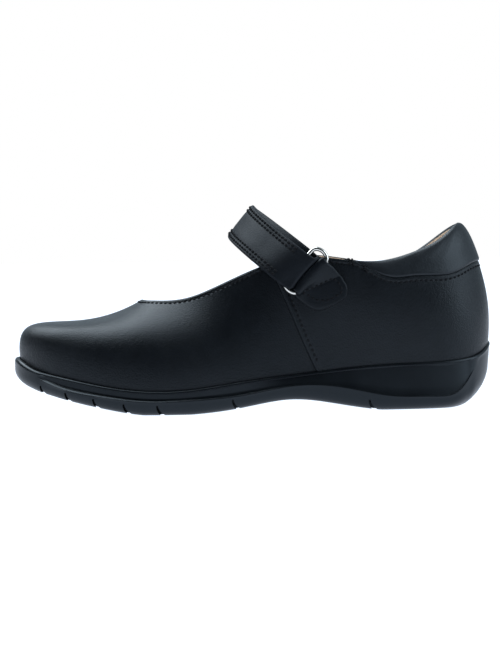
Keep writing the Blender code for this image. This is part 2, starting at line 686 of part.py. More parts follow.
for turn in np.linspace(0.0, STRAP_TIP_ANGLE, 22):
    share = turn / STRAP_TIP_ANGLE
    lift = STRAP_LAYER + (2.0 * STRAP_FOLD - STRAP_LAYER) * (1.0 - smooth_step(0.25, 0.75, turn))
    middle = arch_point(turn, lift)
    half = (strap_half(turn) - 0.2 * share) * max(1.0 - (share ** 14), 0.08) ** 0.45
    slip = STRAP_SLIP_AT_CREST + STRAP_SLIP * max(math.cos(turn), 0.0) ** 0.6
    strap_rows.append([middle + strap_axis(turn) * (across * half - slip) for across in STRAP_ACROSS])
ribbon("strap", np.array(strap_rows), STRAP_THICKNESS, STRAP_LEATHER)
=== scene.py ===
# School shoe for a left foot: fine surfaces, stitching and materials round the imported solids.
# Sizes are in millimetres and repeat the part's own tables; the scene is in metres.
# +Z is up, the toe points to -X and the outer side of the foot to -Y. "Station" is the distance
# back from the toe tip. An angle runs round the shoe: 0 at the toe, half a turn at the heel.

import math

import bmesh
import bpy
import numpy as np
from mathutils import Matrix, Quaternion, Vector
from mathutils.bvhtree import BVHTree


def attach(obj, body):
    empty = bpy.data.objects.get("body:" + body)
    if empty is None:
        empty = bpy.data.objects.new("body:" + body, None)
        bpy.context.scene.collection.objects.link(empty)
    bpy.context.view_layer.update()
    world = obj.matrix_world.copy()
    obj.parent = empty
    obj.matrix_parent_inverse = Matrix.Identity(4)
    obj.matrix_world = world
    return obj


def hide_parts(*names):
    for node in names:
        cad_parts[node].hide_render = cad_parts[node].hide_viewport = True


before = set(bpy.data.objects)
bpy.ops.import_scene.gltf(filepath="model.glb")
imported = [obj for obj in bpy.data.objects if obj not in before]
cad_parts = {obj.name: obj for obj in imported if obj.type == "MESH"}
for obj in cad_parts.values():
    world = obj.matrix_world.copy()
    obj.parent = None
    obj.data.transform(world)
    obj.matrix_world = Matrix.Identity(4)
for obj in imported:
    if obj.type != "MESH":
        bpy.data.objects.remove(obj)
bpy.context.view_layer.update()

MM = 0.001
TURN = 2.0 * math.pi

# Driving dimensions
LENGTH = 206.0
HALF_LENGTH = 0.5 * LENGTH
WALL = 1.8
LAP = 0.7
FIT_GAP = 0.3
RIM_GAP = 0.35
SEAM_STATION = 131.0
COLLAR_START = 161.4

SOLE_COLUMNS = ("station", "outer", "inner", "tread", "round_in", "round_up", "wall_in",
                "step", "lip", "bed", "lip_in", "panel", "seat")
SOLE_ROWS = (
    (0, 4.5, 4.5, 12.9, 5.0, 5.0, 0.0, 21.4, 22.8, 17.5, 1.4, 0.0, 2.9),
    (3, -7.5, 16.8, 11.3, 4.6, 4.6, 0.0, 20.2, 21.6, 16.9, 1.2, 0.0, 2.9),
    (10, -16.8, 26.0, 9.0, 4.2, 4.4, 0.0, 16.8, 18.4, 14.8, 0.9, 0.3, 2.8),
    (22, -26.0, 33.0, 6.0, 4.2, 4.6, 0.0, 11.9, 15.8, 12.0, 0.8, 1.5, 2.7),
    (40, -34.0, 36.9, 2.5, 4.2, 4.8, 0.0, 8.5, 12.4, 9.6, 0.9, 1.7, 2.6),
    (60, -37.8, 37.8, -0.2, 4.2, 4.8, 0.0, 6.4, 10.2, 8.4, 0.9, 1.7, 2.6),
    (78, -37.4, 35.5, 0.0, 4.2, 4.8, 0.0, 6.8, 10.7, 9.0, 0.9, 1.7, 2.6),
    (98, -33.9, 29.8, 2.0, 4.2, 4.8, 0.0, 8.3, 13.3, 11.6, 0.9, 1.7, 2.6),
    (120, -29.9, 25.2, 5.1, 4.2, 4.8, 0.0, 11.5, 15.8, 14.2, 0.9, 1.7, 2.6),
    (140, -27.6, 24.6, 2.7, 4.2, 4.8, 0.0, 10.7, 18.0, 16.3, 0.9, 1.7, 2.6),
    (160, -26.8, 26.4, -0.2, 4.4, 4.8, 0.0, 6.7, 19.6, 17.7, 0.9, 1.7, 2.6),
    (178, -25.4, 26.4, -0.4, 5.0, 4.8, 0.1, 5.9, 20.1, 18.3, 0.9, 1.7, 2.6),
    (191, -22.0, 23.0, -0.3, 7.5, 5.6, 0.3, 8.2, 20.9, 18.5, 0.7, 1.5, 2.5),
    (200, -15.1, 16.1, -0.1, 13.0, 12.4, 0.6, 21.0, 22.6, 18.6, 0.4, 0.2, 2.4),
    (206, 0.5, 0.5, -0.1, 18.2, 18.6, 0.8, 26.0, 27.4, 18.7, 0.4, 0.0, 2.3),
)
UPPER_COLUMNS = ("station", "top_station", "top_axis", "top_half", "top_height", "inner_lower",
                 "rise", "flare", "reach", "fall", "lean", "collar")
UPPER_ROWS = (
    (0, 56.0, 3.0, 0.0, 47.3, 0.0, 34.5, 5.8, 40.6, 30.5, 0.00, -1.0),
    (10, 56.6, 3.0, 7.0, 47.3, 0.5, 31.8, 5.0, 36.2, 31.0, 0.00, -1.0),
    (25, 58.5, 2.9, 11.2, 47.4, 1.0, 27.2, 3.8, 28.0, 32.3, 0.00, -1.0),
    (45, 62.8, 2.7, 15.0, 47.4, 1.5, 24.0, 2.6, 20.8, 34.6, 0.00, -1.0),
    (65, 69.4, 2.4, 18.3, 47.6, 1.8, 22.0, 2.0, 15.5, 41.0, 0.00, -1.0),
    (90, 80.5, 2.0, 21.6, 50.1, 1.9, 20.0, 1.8, 14.0, 54.0, -0.10, -1.0),
    (115, 97.0, 1.5, 24.4, 57.3, 1.7, 18.0, 1.6, 15.0, 68.0, -0.40, -1.0),
    (131, 110.2, 1.1, 25.7, 62.5, 1.2, 17.0, 1.6, 17.0, 76.0, -0.50, -1.0),
    (141, 121.0, 0.9, 26.1, 65.1, 0.6, 17.0, 1.7, 17.0, 79.0, -0.46, -1.0),
    (161, 146.5, 0.6, 25.4, 63.4, 0.4, 17.0, 2.1, 18.0, 80.0, -0.30, 0.2),
    (168, 156.0, 0.5, 24.6, 63.3, 1.5, 17.5, 2.3, 18.5, 80.0, -0.24, 6.0),
    (178, 168.0, 0.5, 22.8, 65.6, 2.9, 18.0, 2.4, 20.0, 80.0, -0.16, 9.3),
    (191, 183.0, 0.5, 17.2, 71.8, 0.4, 20.0, 2.5, 25.0, 75.0, -0.05, 15.1),
    (200, 190.8, 0.5, 9.6, 77.5, 0.4, 21.0, 2.7, 29.0, 71.2, 0.00, 17.3),
    (206, 194.4, 0.5, 0.0, 79.0, 0.0, 22.0, 2.9, 30.0, 68.4, 0.00, 17.2),
)


def angle_of(station):
    """Angle round the shoe of a station on the outer side."""
    return math.acos(1.0 - 2.0 * station / LENGTH)


def closed_spline(knots, values):
    """Smooth periodic curve through the values at the knot angles."""
    knots = np.asarray(knots, float)
    values = np.asarray(values, float)
    count = len(knots)
    gap = np.diff(np.append(knots, knots[0] + TURN))
    slope = (np.roll(values, -1) - values) / gap
    system = np.zeros((count, count))
    for i in range(count):
        system[i, i - 1] = gap[i - 1]
        system[i, i] = 2.0 * (gap[i - 1] + gap[i])
        system[i, (i + 1) % count] = gap[i]
    bend = np.linalg.solve(system, 6.0 * (slope - np.roll(slope, 1)))

    def curve(angle):
        turned = np.mod(angle, TURN)
        i = np.searchsorted(knots, turned, side="right") - 1
        j = (i + 1) % count
        far = (turned - knots[i]) / gap[i]
        near = 1.0 - far
        bow = (near ** 3 - near) * bend[i] + (far ** 3 - far) * bend[j]
        return near * values[i] + far * values[j] + bow * gap[i] ** 2 / 6.0

    return curve


def loop_columns(columns, rows):
    """One closed spline round the shoe for each column, the same on both sides."""
    angles = [angle_of(row[0]) for row in rows]
    knots = angles + [TURN - angle for angle in angles[-2:0:-1]]
    splines = {}
    for index, name in enumerate(columns):
        outer = [row[index] for row in rows]
        splines[name] = closed_spline(knots, outer + outer[-2:0:-1])
    return knots, splines


def two_sided(knots, outer, inner):
    """Closed spline with its own values on the outer and the inner side."""
    return closed_spline(knots, list(outer) + list(inner)[-2:0:-1])


SOLE_KNOTS, SOLE = loop_columns(SOLE_COLUMNS, SOLE_ROWS)
SOLE["y"] = two_sided(SOLE_KNOTS, [row[1] for row in SOLE_ROWS], [row[2] for row in SOLE_ROWS])
UPPER_KNOTS, UPPER = loop_columns(UPPER_COLUMNS, UPPER_ROWS)
UPPER["top_y"] = two_sided(
    UPPER_KNOTS,
    [row[2] - row[3] for row in UPPER_ROWS],
    [row[2] + row[3] for row in UPPER_ROWS],
)
UPPER["top_z"] = two_sided(
    UPPER_KNOTS,
    [row[4] for row in UPPER_ROWS],
    [row[4] - row[5] for row in UPPER_ROWS],
)


UP = np.array([0.0, 0.0, 1.0])


def unit(vectors):
    return vectors / np.linalg.norm(vectors, axis=-1, keepdims=True)


def in_side_view(angle):
    """Direction at an angle from level in side view, towards the heel at 0."""
    return np.array([math.cos(angle), 0.0, math.sin(angle)])


def plan_normal(angle):
    """Outward normal of the sole's outline, seen from above."""
    small = 1e-4
    along_x = HALF_LENGTH * np.sin(angle)
    along_y = (SOLE["y"](angle + small) - SOLE["y"](angle - small)) / (2.0 * small)
    size = np.hypot(along_x, along_y)
    return np.stack([along_y / size, -along_x / size], axis=-1)


def outline(angle, inset, height):
    """Points of the sole's outline, moved in by the inset, at the given height."""
    out = plan_normal(angle)
    x = -HALF_LENGTH * np.cos(angle) - out[..., 0] * inset
    y = SOLE["y"](angle) - out[..., 1] * inset
    return np.stack([x, y, height + 0.0 * x], axis=-1)


def wall_curve(angle, v):
    """Point of the upper's master surface: v runs from 0 at the foot to 1 at the topline."""
    angle, v = np.broadcast_arrays(np.asarray(angle, float), np.asarray(v, float))
    out = plan_normal(angle)
    foot = outline(angle, SOLE["seat"](angle), SOLE["bed"](angle) + FIT_GAP)
    top = np.stack([UPPER["top_station"](angle) - HALF_LENGTH, UPPER["top_y"](angle),
                    UPPER["top_z"](angle)], axis=-1)
    lean = UPPER["lean"](angle)
    fall = np.radians(UPPER["fall"](angle))
    reach = UPPER["reach"](angle)
    rise = UPPER["rise"](angle)
    flare = UPPER["flare"](angle)
    drop = -reach * np.sin(fall)
    low = foot + np.stack([out[..., 0] * flare + lean * rise, out[..., 1] * flare, rise], axis=-1)
    spread = reach * np.cos(fall)
    high = top + np.stack([out[..., 0] * spread + lean * drop, out[..., 1] * spread, drop], axis=-1)
    a = (1.0 - v)[..., None]
    b = v[..., None]
    return a ** 3 * foot + 3 * a * a * b * low + 3 * a * b * b * high + b ** 3 * top


def wall_normal(angle, v):
    """Outward normal of the master surface."""
    small = 1e-3
    along = wall_curve(angle + small, v) - wall_curve(angle - small, v)
    up = wall_curve(angle, np.minimum(v + small, 1.0)) - wall_curve(angle, np.maximum(v - small, 0.0))
    return unit(np.cross(along, up))


def v_at_height(angles, heights):
    """Where each wall line first reaches a height, counted from its top end downwards."""
    samples = np.linspace(0.0, 1.0, 241)
    found = []
    for angle, height in zip(angles, heights):
        z = wall_curve(angle, samples)[:, 2]
        below = np.nonzero(z < height)[0]
        i = below[-1] if len(below) else 0
        j = min(i + 1, len(samples) - 1)
        part = (height - z[i]) / (z[j] - z[i]) if z[j] > z[i] else 0.0
        found.append(samples[i] + min(max(part, 0.0), 1.0) * (samples[j] - samples[i]))
    return np.array(found)


def folded(angle):
    """The angle measured on the outer side, whichever side it is on."""
    turned = np.mod(angle, TURN)
    return np.minimum(turned, TURN - turned)


SEAM_ANGLE = angle_of(SEAM_STATION)


def collar_drop(angle):
    """How far the quarter's cut edge lies below the topline, where the collar takes over."""
    return np.maximum(UPPER["collar"](angle), 0.0) * (SEAM_ANGLE < folded(angle))


def edge_v(angles):
    """End of each wall line: the quarter's cut edge under the collar, and the topline elsewhere."""
    drop = collar_drop(angles)
    cut = v_at_height(angles, UPPER["top_z"](angles) - drop - 1e-6)
    return np.where(drop > 0.0, cut, 1.0)


def smooth_step(low, high, value):
    """0 below low, 1 above high, and an even ramp with soft ends between."""
    part = np.clip((value - low) / (high - low), 0.0, 1.0)
    return part * part * (3.0 - 2.0 * part)


def bump_at(value, centre, width):
    """Soft bump of height 1 at the centre."""
    return np.exp(-((value - centre) / width) ** 2)


# Materials

class Nodes:
    """Short calls for the nodes of one tree."""

    def __init__(self, tree):
        self.tree = tree

    def feed(self, socket, value):
        """Links another node's output to a socket, or sets a plain value on it."""
        if isinstance(value, bpy.types.NodeSocket):
            self.tree.links.new(value, socket)
        else:
            socket.default_value = value

    def node(self, kind, inputs=None, **settings):
        node = self.tree.nodes.new("ShaderNode" + kind)
        for name, value in settings.items():
            setattr(node, name, value)
        for socket, value in (inputs or {}).items():
            self.feed(node.inputs[socket], value)
        return node

    def ramp(self, value, low, high, to_low, to_high, **settings):
        """Value carried from one range to another."""
        inputs = {"Value": value, "From Min": low, "From Max": high, "To Min": to_low, "To Max": to_high}
        return self.node("MapRange", inputs, **settings).outputs["Result"]

    def add(self, first, second):
        return self.node("Math", {0: first, 1: second}, operation="ADD").outputs["Value"]


class Surface(Nodes):
    """Material with a principled shader, textured in the shoe's own space."""

    def __init__(self, name, colour, roughness, **sockets):
        self.material = bpy.data.materials.new(name)
        self.material.use_nodes = True
        super().__init__(self.material.node_tree)
        self.shader = self.tree.nodes["Principled BSDF"]
        self.shader.inputs["Base Color"].default_value = (*colour, 1.0)
        self.shader.inputs["Roughness"].default_value = roughness
        for socket, value in sockets.items():
            self.shader.inputs[socket.replace("_", " ")].default_value = value
        self.place = self.node("TexCoord").outputs["Object"]

    def noise(self, size, detail=2.0, rough=0.5):
        """Noise whose spots are about this many millimetres across."""
        inputs = {"Vector": self.place, "Scale": 1.0 / (size * MM), "Detail": detail, "Roughness": rough}
        return self.node("TexNoise", inputs).outputs["Fac"]

    def cells(self, size):
        """Rounded cells of this size in millimetres, like the pebbles of leather grain."""
        inputs = {"Vector": self.place, "Scale": 1.0 / (size * MM), "Smoothness": 0.35}
        return self.node("TexVoronoi", inputs, feature="SMOOTH_F1").outputs["Distance"]

    def colours(self, value, dark, light):
        """Base colour that drifts between two colours."""
        node = self.node("Mix", {"Factor": value}, data_type="RGBA")
        for socket in node.inputs:
            if socket.name in ("A", "B") and socket.type == "RGBA":
                socket.default_value = (*(dark if socket.name == "A" else light), 1.0)
        for socket in node.outputs:
            if socket.type == "RGBA":
                self.feed(self.shader.inputs["Base Color"], socket)

    def roughness(self, value):
        self.feed(self.shader.inputs["Roughness"], value)

    def bump(self, value, depth, strength=1.0):
        """Relief of this depth in millimetres."""
        node = self.node("Bump", {"Height": value, "Strength": strength, "Distance": depth * MM})
        self.feed(self.shader.inputs["Normal"], node.outputs["Normal"])


def leather(name, roughness, grain, depth, shine=0.23, colour=(0.0032, 0.0041, 0.0056), spread=0.05):
    """Black full-grain leather: pebbles, pores and a slightly uneven finish."""
    work = Surface(name, colour, roughness, Specular_IOR_Level=shine, Specular_Tint=(0.84, 0.93, 1.0, 1.0))
    pebbles = work.ramp(work.cells(grain), 0.0, 0.7, 0.0, 0.7)
    pores = work.ramp(work.noise(0.45 * grain, 3.0, 0.6), 0.25, 0.75, 0.0, 0.5)
    relief = work.add(pebbles, pores)
    work.bump(relief, depth, 0.55)
    broad = work.noise(17.0, 3.0, 0.55)
    work.roughness(work.add(work.ramp(broad, 0.3, 0.7, roughness - spread, roughness + spread),
                            work.ramp(relief, 0.0, 1.2, 0.03, -0.03)))
    light = tuple(1.35 * part for part in colour)
    work.colours(work.ramp(work.noise(6.0, 4.0), 0.35, 0.7, 0.0, 1.0), colour, light)
    return work.material


def make_lining(name, colour, roughness):
    """Tan lining leather with a soft nap."""
    work = Surface(name, colour, roughness, Specular_IOR_Level=0.25, Sheen_Weight=0.15)
    nap = work.add(work.ramp(work.cells(0.6), 0.0, 0.7, 0.0, 0.6),
                   work.ramp(work.noise(0.3, 4.0, 0.7), 0.2, 0.8, 0.0, 0.8))
    work.bump(nap, 0.06, 0.6)
    work.colours(work.ramp(work.noise(9.0, 5.0, 0.6), 0.3, 0.7, 0.0, 1.0),
                 tuple(0.82 * part for part in colour), tuple(min(1.0, 1.12 * part) for part in colour))
    return work.material


def make_rubber(name):
    """Moulded rubber: dull, with the fine texture of the mould."""
    colour = (0.0018, 0.0024, 0.0033)
    work = Surface(name, colour, 0.36, Specular_IOR_Level=0.30, Specular_Tint=(0.78, 0.90, 1.0, 1.0))
    texture = work.add(work.ramp(work.noise(0.35, 3.0, 0.6), 0.2, 0.8, 0.0, 0.5),
                       work.ramp(work.noise(2.2, 2.0), 0.2, 0.8, 0.0, 0.4))
    work.bump(texture, 0.03, 0.6)
    work.roughness(work.ramp(work.noise(12.0, 3.0), 0.3, 0.7, 0.32, 0.40))
    work.colours(work.ramp(work.noise(8.0, 4.0), 0.35, 0.7, 0.0, 1.0), colour,
                 tuple(1.3 * part for part in colour))
    return work.material


def make_thread(name):
    """Matt sewing thread with its twist."""
    work = Surface(name, (0.0060, 0.0065, 0.0080), 0.8, Specular_IOR_Level=0.12)
    work.bump(work.noise(0.18, 2.0), 0.05, 0.8)
    work.colours(work.noise(0.5, 2.0), (0.0045, 0.005, 0.006), (0.009, 0.0098, 0.0115))
    return work.material


def make_nickel(name):
    """Polished nickel wire with faint drawing marks."""
    work = Surface(name, (0.62, 0.60, 0.56), 0.2, Metallic=1.0)
    work.roughness(work.ramp(work.noise(0.9, 4.0, 0.6), 0.3, 0.7, 0.14, 0.27))
    work.bump(work.noise(0.4, 2.0), 0.01, 0.4)
    return work.material


def make_fuzz(name):
    """Loops and hooks of the fastening tape."""
    work = Surface(name, (0.030, 0.034, 0.040), 0.95, Specular_IOR_Level=0.1, Sheen_Weight=0.6)
    tufts = work.add(work.ramp(work.cells(0.7), 0.0, 0.7, 0.0, 0.8), work.noise(0.3, 3.0, 0.7))
    work.bump(tufts, 0.35, 1.0)
    work.colours(work.noise(0.8, 3.0), (0.018, 0.020, 0.024), (0.055, 0.062, 0.072))
    return work.material


LEATHER = leather("fine_upper_leather", 0.37, 0.7, 0.165, colour=(0.0029, 0.0037, 0.0050))
COLLAR_LEATHER = leather("fine_collar_leather", 0.45, 1.05, 0.07, 0.36)
# The strap uses the same black leather with a lighter base colour, which lifts its shaded side: painted
# light.
STRAP_LEATHER_PAINTED_LIGHT = leather("fine_strap_leather_painted_light", 0.53, 0.80, 0.10, 0.145, (0.0050, 0.0060, 0.0080))
TAB_LEATHER = leather("fine_tab_leather", 0.38, 0.80, 0.10, 0.18)
RUBBER = make_rubber("fine_sole_rubber")
LINING = make_lining("fine_lining", (0.60, 0.44, 0.31), 0.7)
THREAD = make_thread("fine_thread")
NICKEL = make_nickel("fine_nickel")
FUZZ = make_fuzz("fine_fastening_tape")


# Meshes

def put(name, data):
    """New object in the scene."""
    item = bpy.data.objects.new(name, data)
    bpy.context.scene.collection.objects.link(item)
    return item


def make_mesh(name, points, faces, materials=(), kinds=None):
    """Smooth mesh from points in millimetres, with its faces turned out."""
    mesh = bpy.data.meshes.new(name)
    mesh.from_pydata((np.asarray(points) * MM).tolist(), [], [tuple(face) for face in faces])
    for material in materials:
        mesh.materials.append(material)
    if kinds is not None:
        mesh.polygons.foreach_set("material_index", np.asarray(kinds, dtype=np.int32))
    work = bmesh.new()
    work.from_mesh(mesh)
    bmesh.ops.recalc_face_normals(work, faces=work.faces)
    for face in work.faces:
        face.smooth = True
    work.to_mesh(mesh)
    work.free()
    return mesh


def add_piece(name, points, faces, materials, slot, kinds=None):
    """Piece that rides on the shoe."""
    piece = put(name, make_mesh(name, points, faces, materials, kinds))
    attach(piece, "root")
    return piece


def grid_faces(rows, columns, loop_rows=False, loop_columns_too=False):
    """Quads over a grid of points; either direction may close on itself."""
    i = np.arange(rows if loop_rows else rows - 1)
    j = np.arange(columns if loop_columns_too else columns - 1)
    i, j = np.meshgrid(i, j, indexing="ij")
    below = (i + 1) % rows
    beside = (j + 1) % columns
    quads = np.stack([i * columns + j, i * columns + beside,
                      below * columns + beside, below * columns + j], axis=-1)
    return quads.reshape(-1, 4).tolist()


def loft(loops, ends=True, closed=False):
    """Points and faces of a skin over closed loops of points, with caps at both ends."""
    rows, columns = loops.shape[:2]
    faces = grid_faces(rows, columns, closed, True)
    if ends and not closed:
        faces.append(list(range(columns)))
        faces.append([(rows - 1) * columns + i for i in range(columns)])
    return loops.reshape(-1, 3), faces


def joined(parts):
    """Several point and face lists as one."""
    points = []
    faces = []
    start = 0
    for some_points, some_faces in parts:
        points.append(some_points)
        faces += [[corner + start for corner in face] for face in some_faces]
        start += len(some_points)
    return np.concatenate(points), faces


def line_at(line, distance):
    """Points of a polyline at distances along it."""
    steps = np.linalg.norm(np.diff(line[:, :3], axis=0), axis=1)
    along = np.concatenate([[0.0], np.cumsum(steps)])
    return np.stack([np.interp(distance, along, column) for column in line.T], axis=1)


def line_length(line):
    return float(np.linalg.norm(np.diff(line[:, :3], axis=0), axis=1).sum())


def softened(line):
    """Evens out a line of points between its ends."""
    middle = 0.25 * line[:-2] + 0.5 * line[1:-1] + 0.25 * line[2:]
    return np.concatenate([line[:1], middle, line[-1:]])


def tube(line, radius, sides, closed=False):
    """Round wire along a line of points."""
    if closed:
        ahead = np.roll(line, -1, axis=0) - np.roll(line, 1, axis=0)
    else:
        ahead = np.gradient(line, axis=0)
    ahead = unit(ahead)
    side = unit(np.cross(ahead, np.array([0.31, 0.17, 0.93])))
    up = np.cross(ahead, side)
    turns = np.arange(sides) * TURN / sides
    radius = np.broadcast_to(np.asarray(radius, float), (len(line),))
    loops = line[:, None, :] + radius[:, None, None] * (
        np.cos(turns)[None, :, None] * side[:, None, :] + np.sin(turns)[None, :, None] * up[:, None, :])
    return loft(loops, closed=closed)


STITCH_PITCH = 2.2
STITCH_LENGTH = 1.6
STITCH_WIDTH = 0.78


def stitch_row(line, normals, slant=0.0, thick=STITCH_WIDTH):
    """Thread stitches along a line of points: short rounded bars whose ends dip into the leather."""
    both = np.concatenate([line, normals], axis=1)
    total = line_length(line)
    count = max(1, int(round(total / STITCH_PITCH)))
    centres = (np.arange(count) + 0.5) * total / count
    spot = line_at(both, centres)
    ahead = unit(line_at(both, centres + 0.4)[:, :3] - line_at(both, centres - 0.4)[:, :3])
    out = unit(spot[:, 3:])
    side = unit(np.cross(out, ahead))
    ahead = unit(ahead * math.cos(slant) + side * math.sin(slant))
    side = np.cross(out, ahead)
    lengths = np.array([-1.0, -0.86, -0.5, 0.0, 0.5, 0.86, 1.0])
    widths = np.array([0.30, 0.72, 0.97, 1.0, 0.97, 0.72, 0.30])
    turns = np.arange(8) * TURN / 8
    along = 0.5 * STITCH_LENGTH * lengths[:, None] + 0.0 * turns[None, :]
    across = 0.5 * thick * widths[:, None] * np.cos(turns)[None, :]
    height = (0.5 * thick * widths[:, None] * np.sin(turns)[None, :]
              + 0.13 - 0.34 * (lengths ** 2)[:, None])
    loops = (spot[:, None, None, :3] + along[None, ..., None] * ahead[:, None, None, :]
             + across[None, ..., None] * side[:, None, None, :]
             + height[None, ..., None] * out[:, None, None, :])
    return joined([loft(loop) for loop in loops])


# Upper: vamp, quarter and lining as sheets that follow the wall lines

def wall_rows(angles, ends):
    """Length of each wall line, and a function for v at a distance below its upper end."""
    samples = np.linspace(0.0, 1.0, 241)
    lines = wall_curve(angles[:, None], samples[None, :])
    steps = np.linalg.norm(np.diff(lines, axis=1), axis=-1)
    along = np.concatenate([np.zeros((len(angles), 1)), np.cumsum(steps, axis=1)], axis=1)
    length = np.array([np.interp(end, samples, row) for end, row in zip(ends, along)])

    def v_below(distance):
        found = np.empty(distance.shape)
        for column in range(len(angles)):
            found[:, column] = np.interp(length[column] - distance[:, column], along[column], samples)
        return found

    return length, v_below


EDGE_ROWS = np.array([0.12, 0.3, 0.55, 0.85, 1.15, 1.45, 1.7, 1.95, 2.15, 2.4, 2.7, 3.1, 3.7, 4.5])


def wall_sheet(angles, ends, outer, inner, rows, closed=False):
    """Closed sheet between two lifts off the wall, with a rounded upper edge."""
    length, v_below = wall_rows(angles, ends)
    turns = np.linspace(0.0, math.pi, 9)
    top = np.zeros_like(angles)
    radius = 0.5 * (outer(angles, top) - inner(angles, top))
    middle = inner(angles, top) + radius
    deep = EDGE_ROWS[-1] + 0.4
    spread = deep + (length - deep)[None, :] * np.linspace(0.0, 1.0, rows)[1:, None]
    below = np.concatenate([radius[None, :] + EDGE_ROWS[:, None], spread])
    rounded = radius[None, :] * (1.0 - np.sin(turns))[:, None]
    distance = np.concatenate([below[::-1], rounded, below])
    angle_grid = np.broadcast_to(angles[None, :], distance.shape)
    lift = np.concatenate([
        outer(angle_grid[:len(below)], below[::-1]),
        middle[None, :] + radius[None, :] * np.cos(turns)[:, None],
        inner(angle_grid[:len(below)], below),
    ])
    v = v_below(distance)
    points = wall_curve(angle_grid, v) + wall_normal(angle_grid, v) * lift[..., None]
    return loft(np.swapaxes(points, 0, 1), closed=closed)


# Edges and seams; the speed is the distance along the wall for an angle of one, by the side seam
SEAM_SPEED = 103.0
FOLD_PUFF = 0.16
FURROW = 0.15
FURROW_WIDTH = 0.36
EDGE_STITCH = 2.1
SEAM_STITCH = 2.4
OVERLAP = 8.0
VAMP_DEEP = 1.2
SHEET_ROWS = 46
LINING_ROWS = 30
LINING_GAP = 0.04


def edge_relief(distance):
    """Folded edge: a soft puff along it and a furrow under the stitches."""
    return (FOLD_PUFF * bump_at(distance, 1.0, 0.75)
            - FURROW * bump_at(distance, EDGE_STITCH, FURROW_WIDTH))


def behind_seam(angle):
    """Distance behind the quarter's front edge."""
    return (folded(angle) - SEAM_ANGLE) * SEAM_SPEED


def vamp_outer(angle, distance):
    hidden = smooth_step(-0.3, 0.3, behind_seam(angle))
    return edge_relief(distance) * (1.0 - hidden) - 0.06 * hidden


def level(lift):
    """The same lift off the wall everywhere."""
    return lambda angle, distance: lift + 0.0 * distance


def quarter_outer(angle, distance):
    back = behind_seam(angle)
    rise = np.sqrt(np.clip(1.0 - (1.0 - np.clip(back / 0.4, 0.0, 1.0)) ** 2, 0.0, 1.0))
    relief = edge_relief(distance) + 0.10 * bump_at(back, 1.2, 0.8)
    relief = relief - FURROW * bump_at(back, SEAM_STITCH, FURROW_WIDTH)
    return LAP * rise + relief * smooth_step(0.2, 0.8, back)


def quarter_inner(angle, distance):
    inward = smooth_step(OVERLAP + 1.0, OVERLAP + 4.0, behind_seam(angle))
    inward = inward * smooth_step(4.0, 8.0, distance)
    return -0.02 - 0.9 * inward


vamp_end = SEAM_ANGLE + OVERLAP / SEAM_SPEED
near_seam = SEAM_ANGLE + np.array([-1.2, -0.5, -0.2, 0.0, 0.2, 0.6]) / SEAM_SPEED
vamp_half = np.concatenate([np.linspace(0.0, SEAM_ANGLE - 2.0 / SEAM_SPEED, 130), near_seam,
                            np.linspace(SEAM_ANGLE + 2.0 / SEAM_SPEED, vamp_end, 5)])
vamp_angles = np.concatenate([-vamp_half[:0:-1], vamp_half])
vamp_sheet = wall_sheet(vamp_angles, edge_v(vamp_angles), vamp_outer, level(-VAMP_DEEP), SHEET_ROWS)
vamp = add_piece("vamp", *vamp_sheet, [LEATHER], "upper_leather")
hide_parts("upper")

front_edge = np.array([0.0, 0.03, 0.09, 0.18, 0.3, 0.42, 0.7, 1.1, 1.5, 1.8, 2.1, 2.3, 2.5, 2.7, 3.0, 3.5])
quarter_half = np.concatenate([SEAM_ANGLE + front_edge / SEAM_SPEED,
                               np.linspace(SEAM_ANGLE + 4.3 / SEAM_SPEED, math.pi, 110)])
quarter_angles = np.concatenate([quarter_half, TURN - quarter_half[-2::-1]])
quarter_sheet = wall_sheet(quarter_angles, edge_v(quarter_angles), quarter_outer, quarter_inner, SHEET_ROWS)
add_piece("quarter", *quarter_sheet, [LEATHER], "upper_leather")

lining_angles = np.arange(240) * TURN / 240
lining_sheet = wall_sheet(lining_angles, edge_v(lining_angles), level(-VAMP_DEEP - LINING_GAP),
                          level(-WALL), LINING_ROWS, closed=True)
add_piece("lining", *lining_sheet, [LINING], "insole_lining")


# Stitching of the upper

def wall_line(angles, distance, lift):
    """Line along the upper at a distance below its edge, with its normals."""
    angles = np.asarray(angles, float)
    _, v_below = wall_rows(angles, edge_v(angles))
    v = v_below(np.broadcast_to(np.asarray(distance, float), angles.shape)[None, :])[0]
    normals = wall_normal(angles, v)
    return wall_curve(angles, v) + normals * lift, normals


vamp_row = np.linspace(-SEAM_ANGLE + 1.0 / SEAM_SPEED, SEAM_ANGLE - 1.0 / SEAM_SPEED, 300)
quarter_row = np.linspace(SEAM_ANGLE + 3.4 / SEAM_SPEED, TURN - SEAM_ANGLE - 3.4 / SEAM_SPEED, 500)
upper_stitches = [
    stitch_row(*wall_line(vamp_row, EDGE_STITCH, -FURROW), slant=0.22),
    stitch_row(*wall_line(quarter_row, EDGE_STITCH, LAP - FURROW), slant=0.12),
]
for side in (1.0, -1.0):
    seam_at = side * (SEAM_ANGLE + SEAM_STITCH / SEAM_SPEED)
    seam_v = np.linspace(0.1, 0.93, 120)
    seam_angles = np.full(seam_v.shape, seam_at)
    seam_normals = wall_normal(seam_angles, seam_v)
    seam_line = wall_curve(seam_angles, seam_v) + seam_normals * (LAP - FURROW)
    upper_stitches.append(stitch_row(seam_line, seam_normals))
add_piece("upper_stitching", *joined(upper_stitches), [THREAD], "upper_leather")


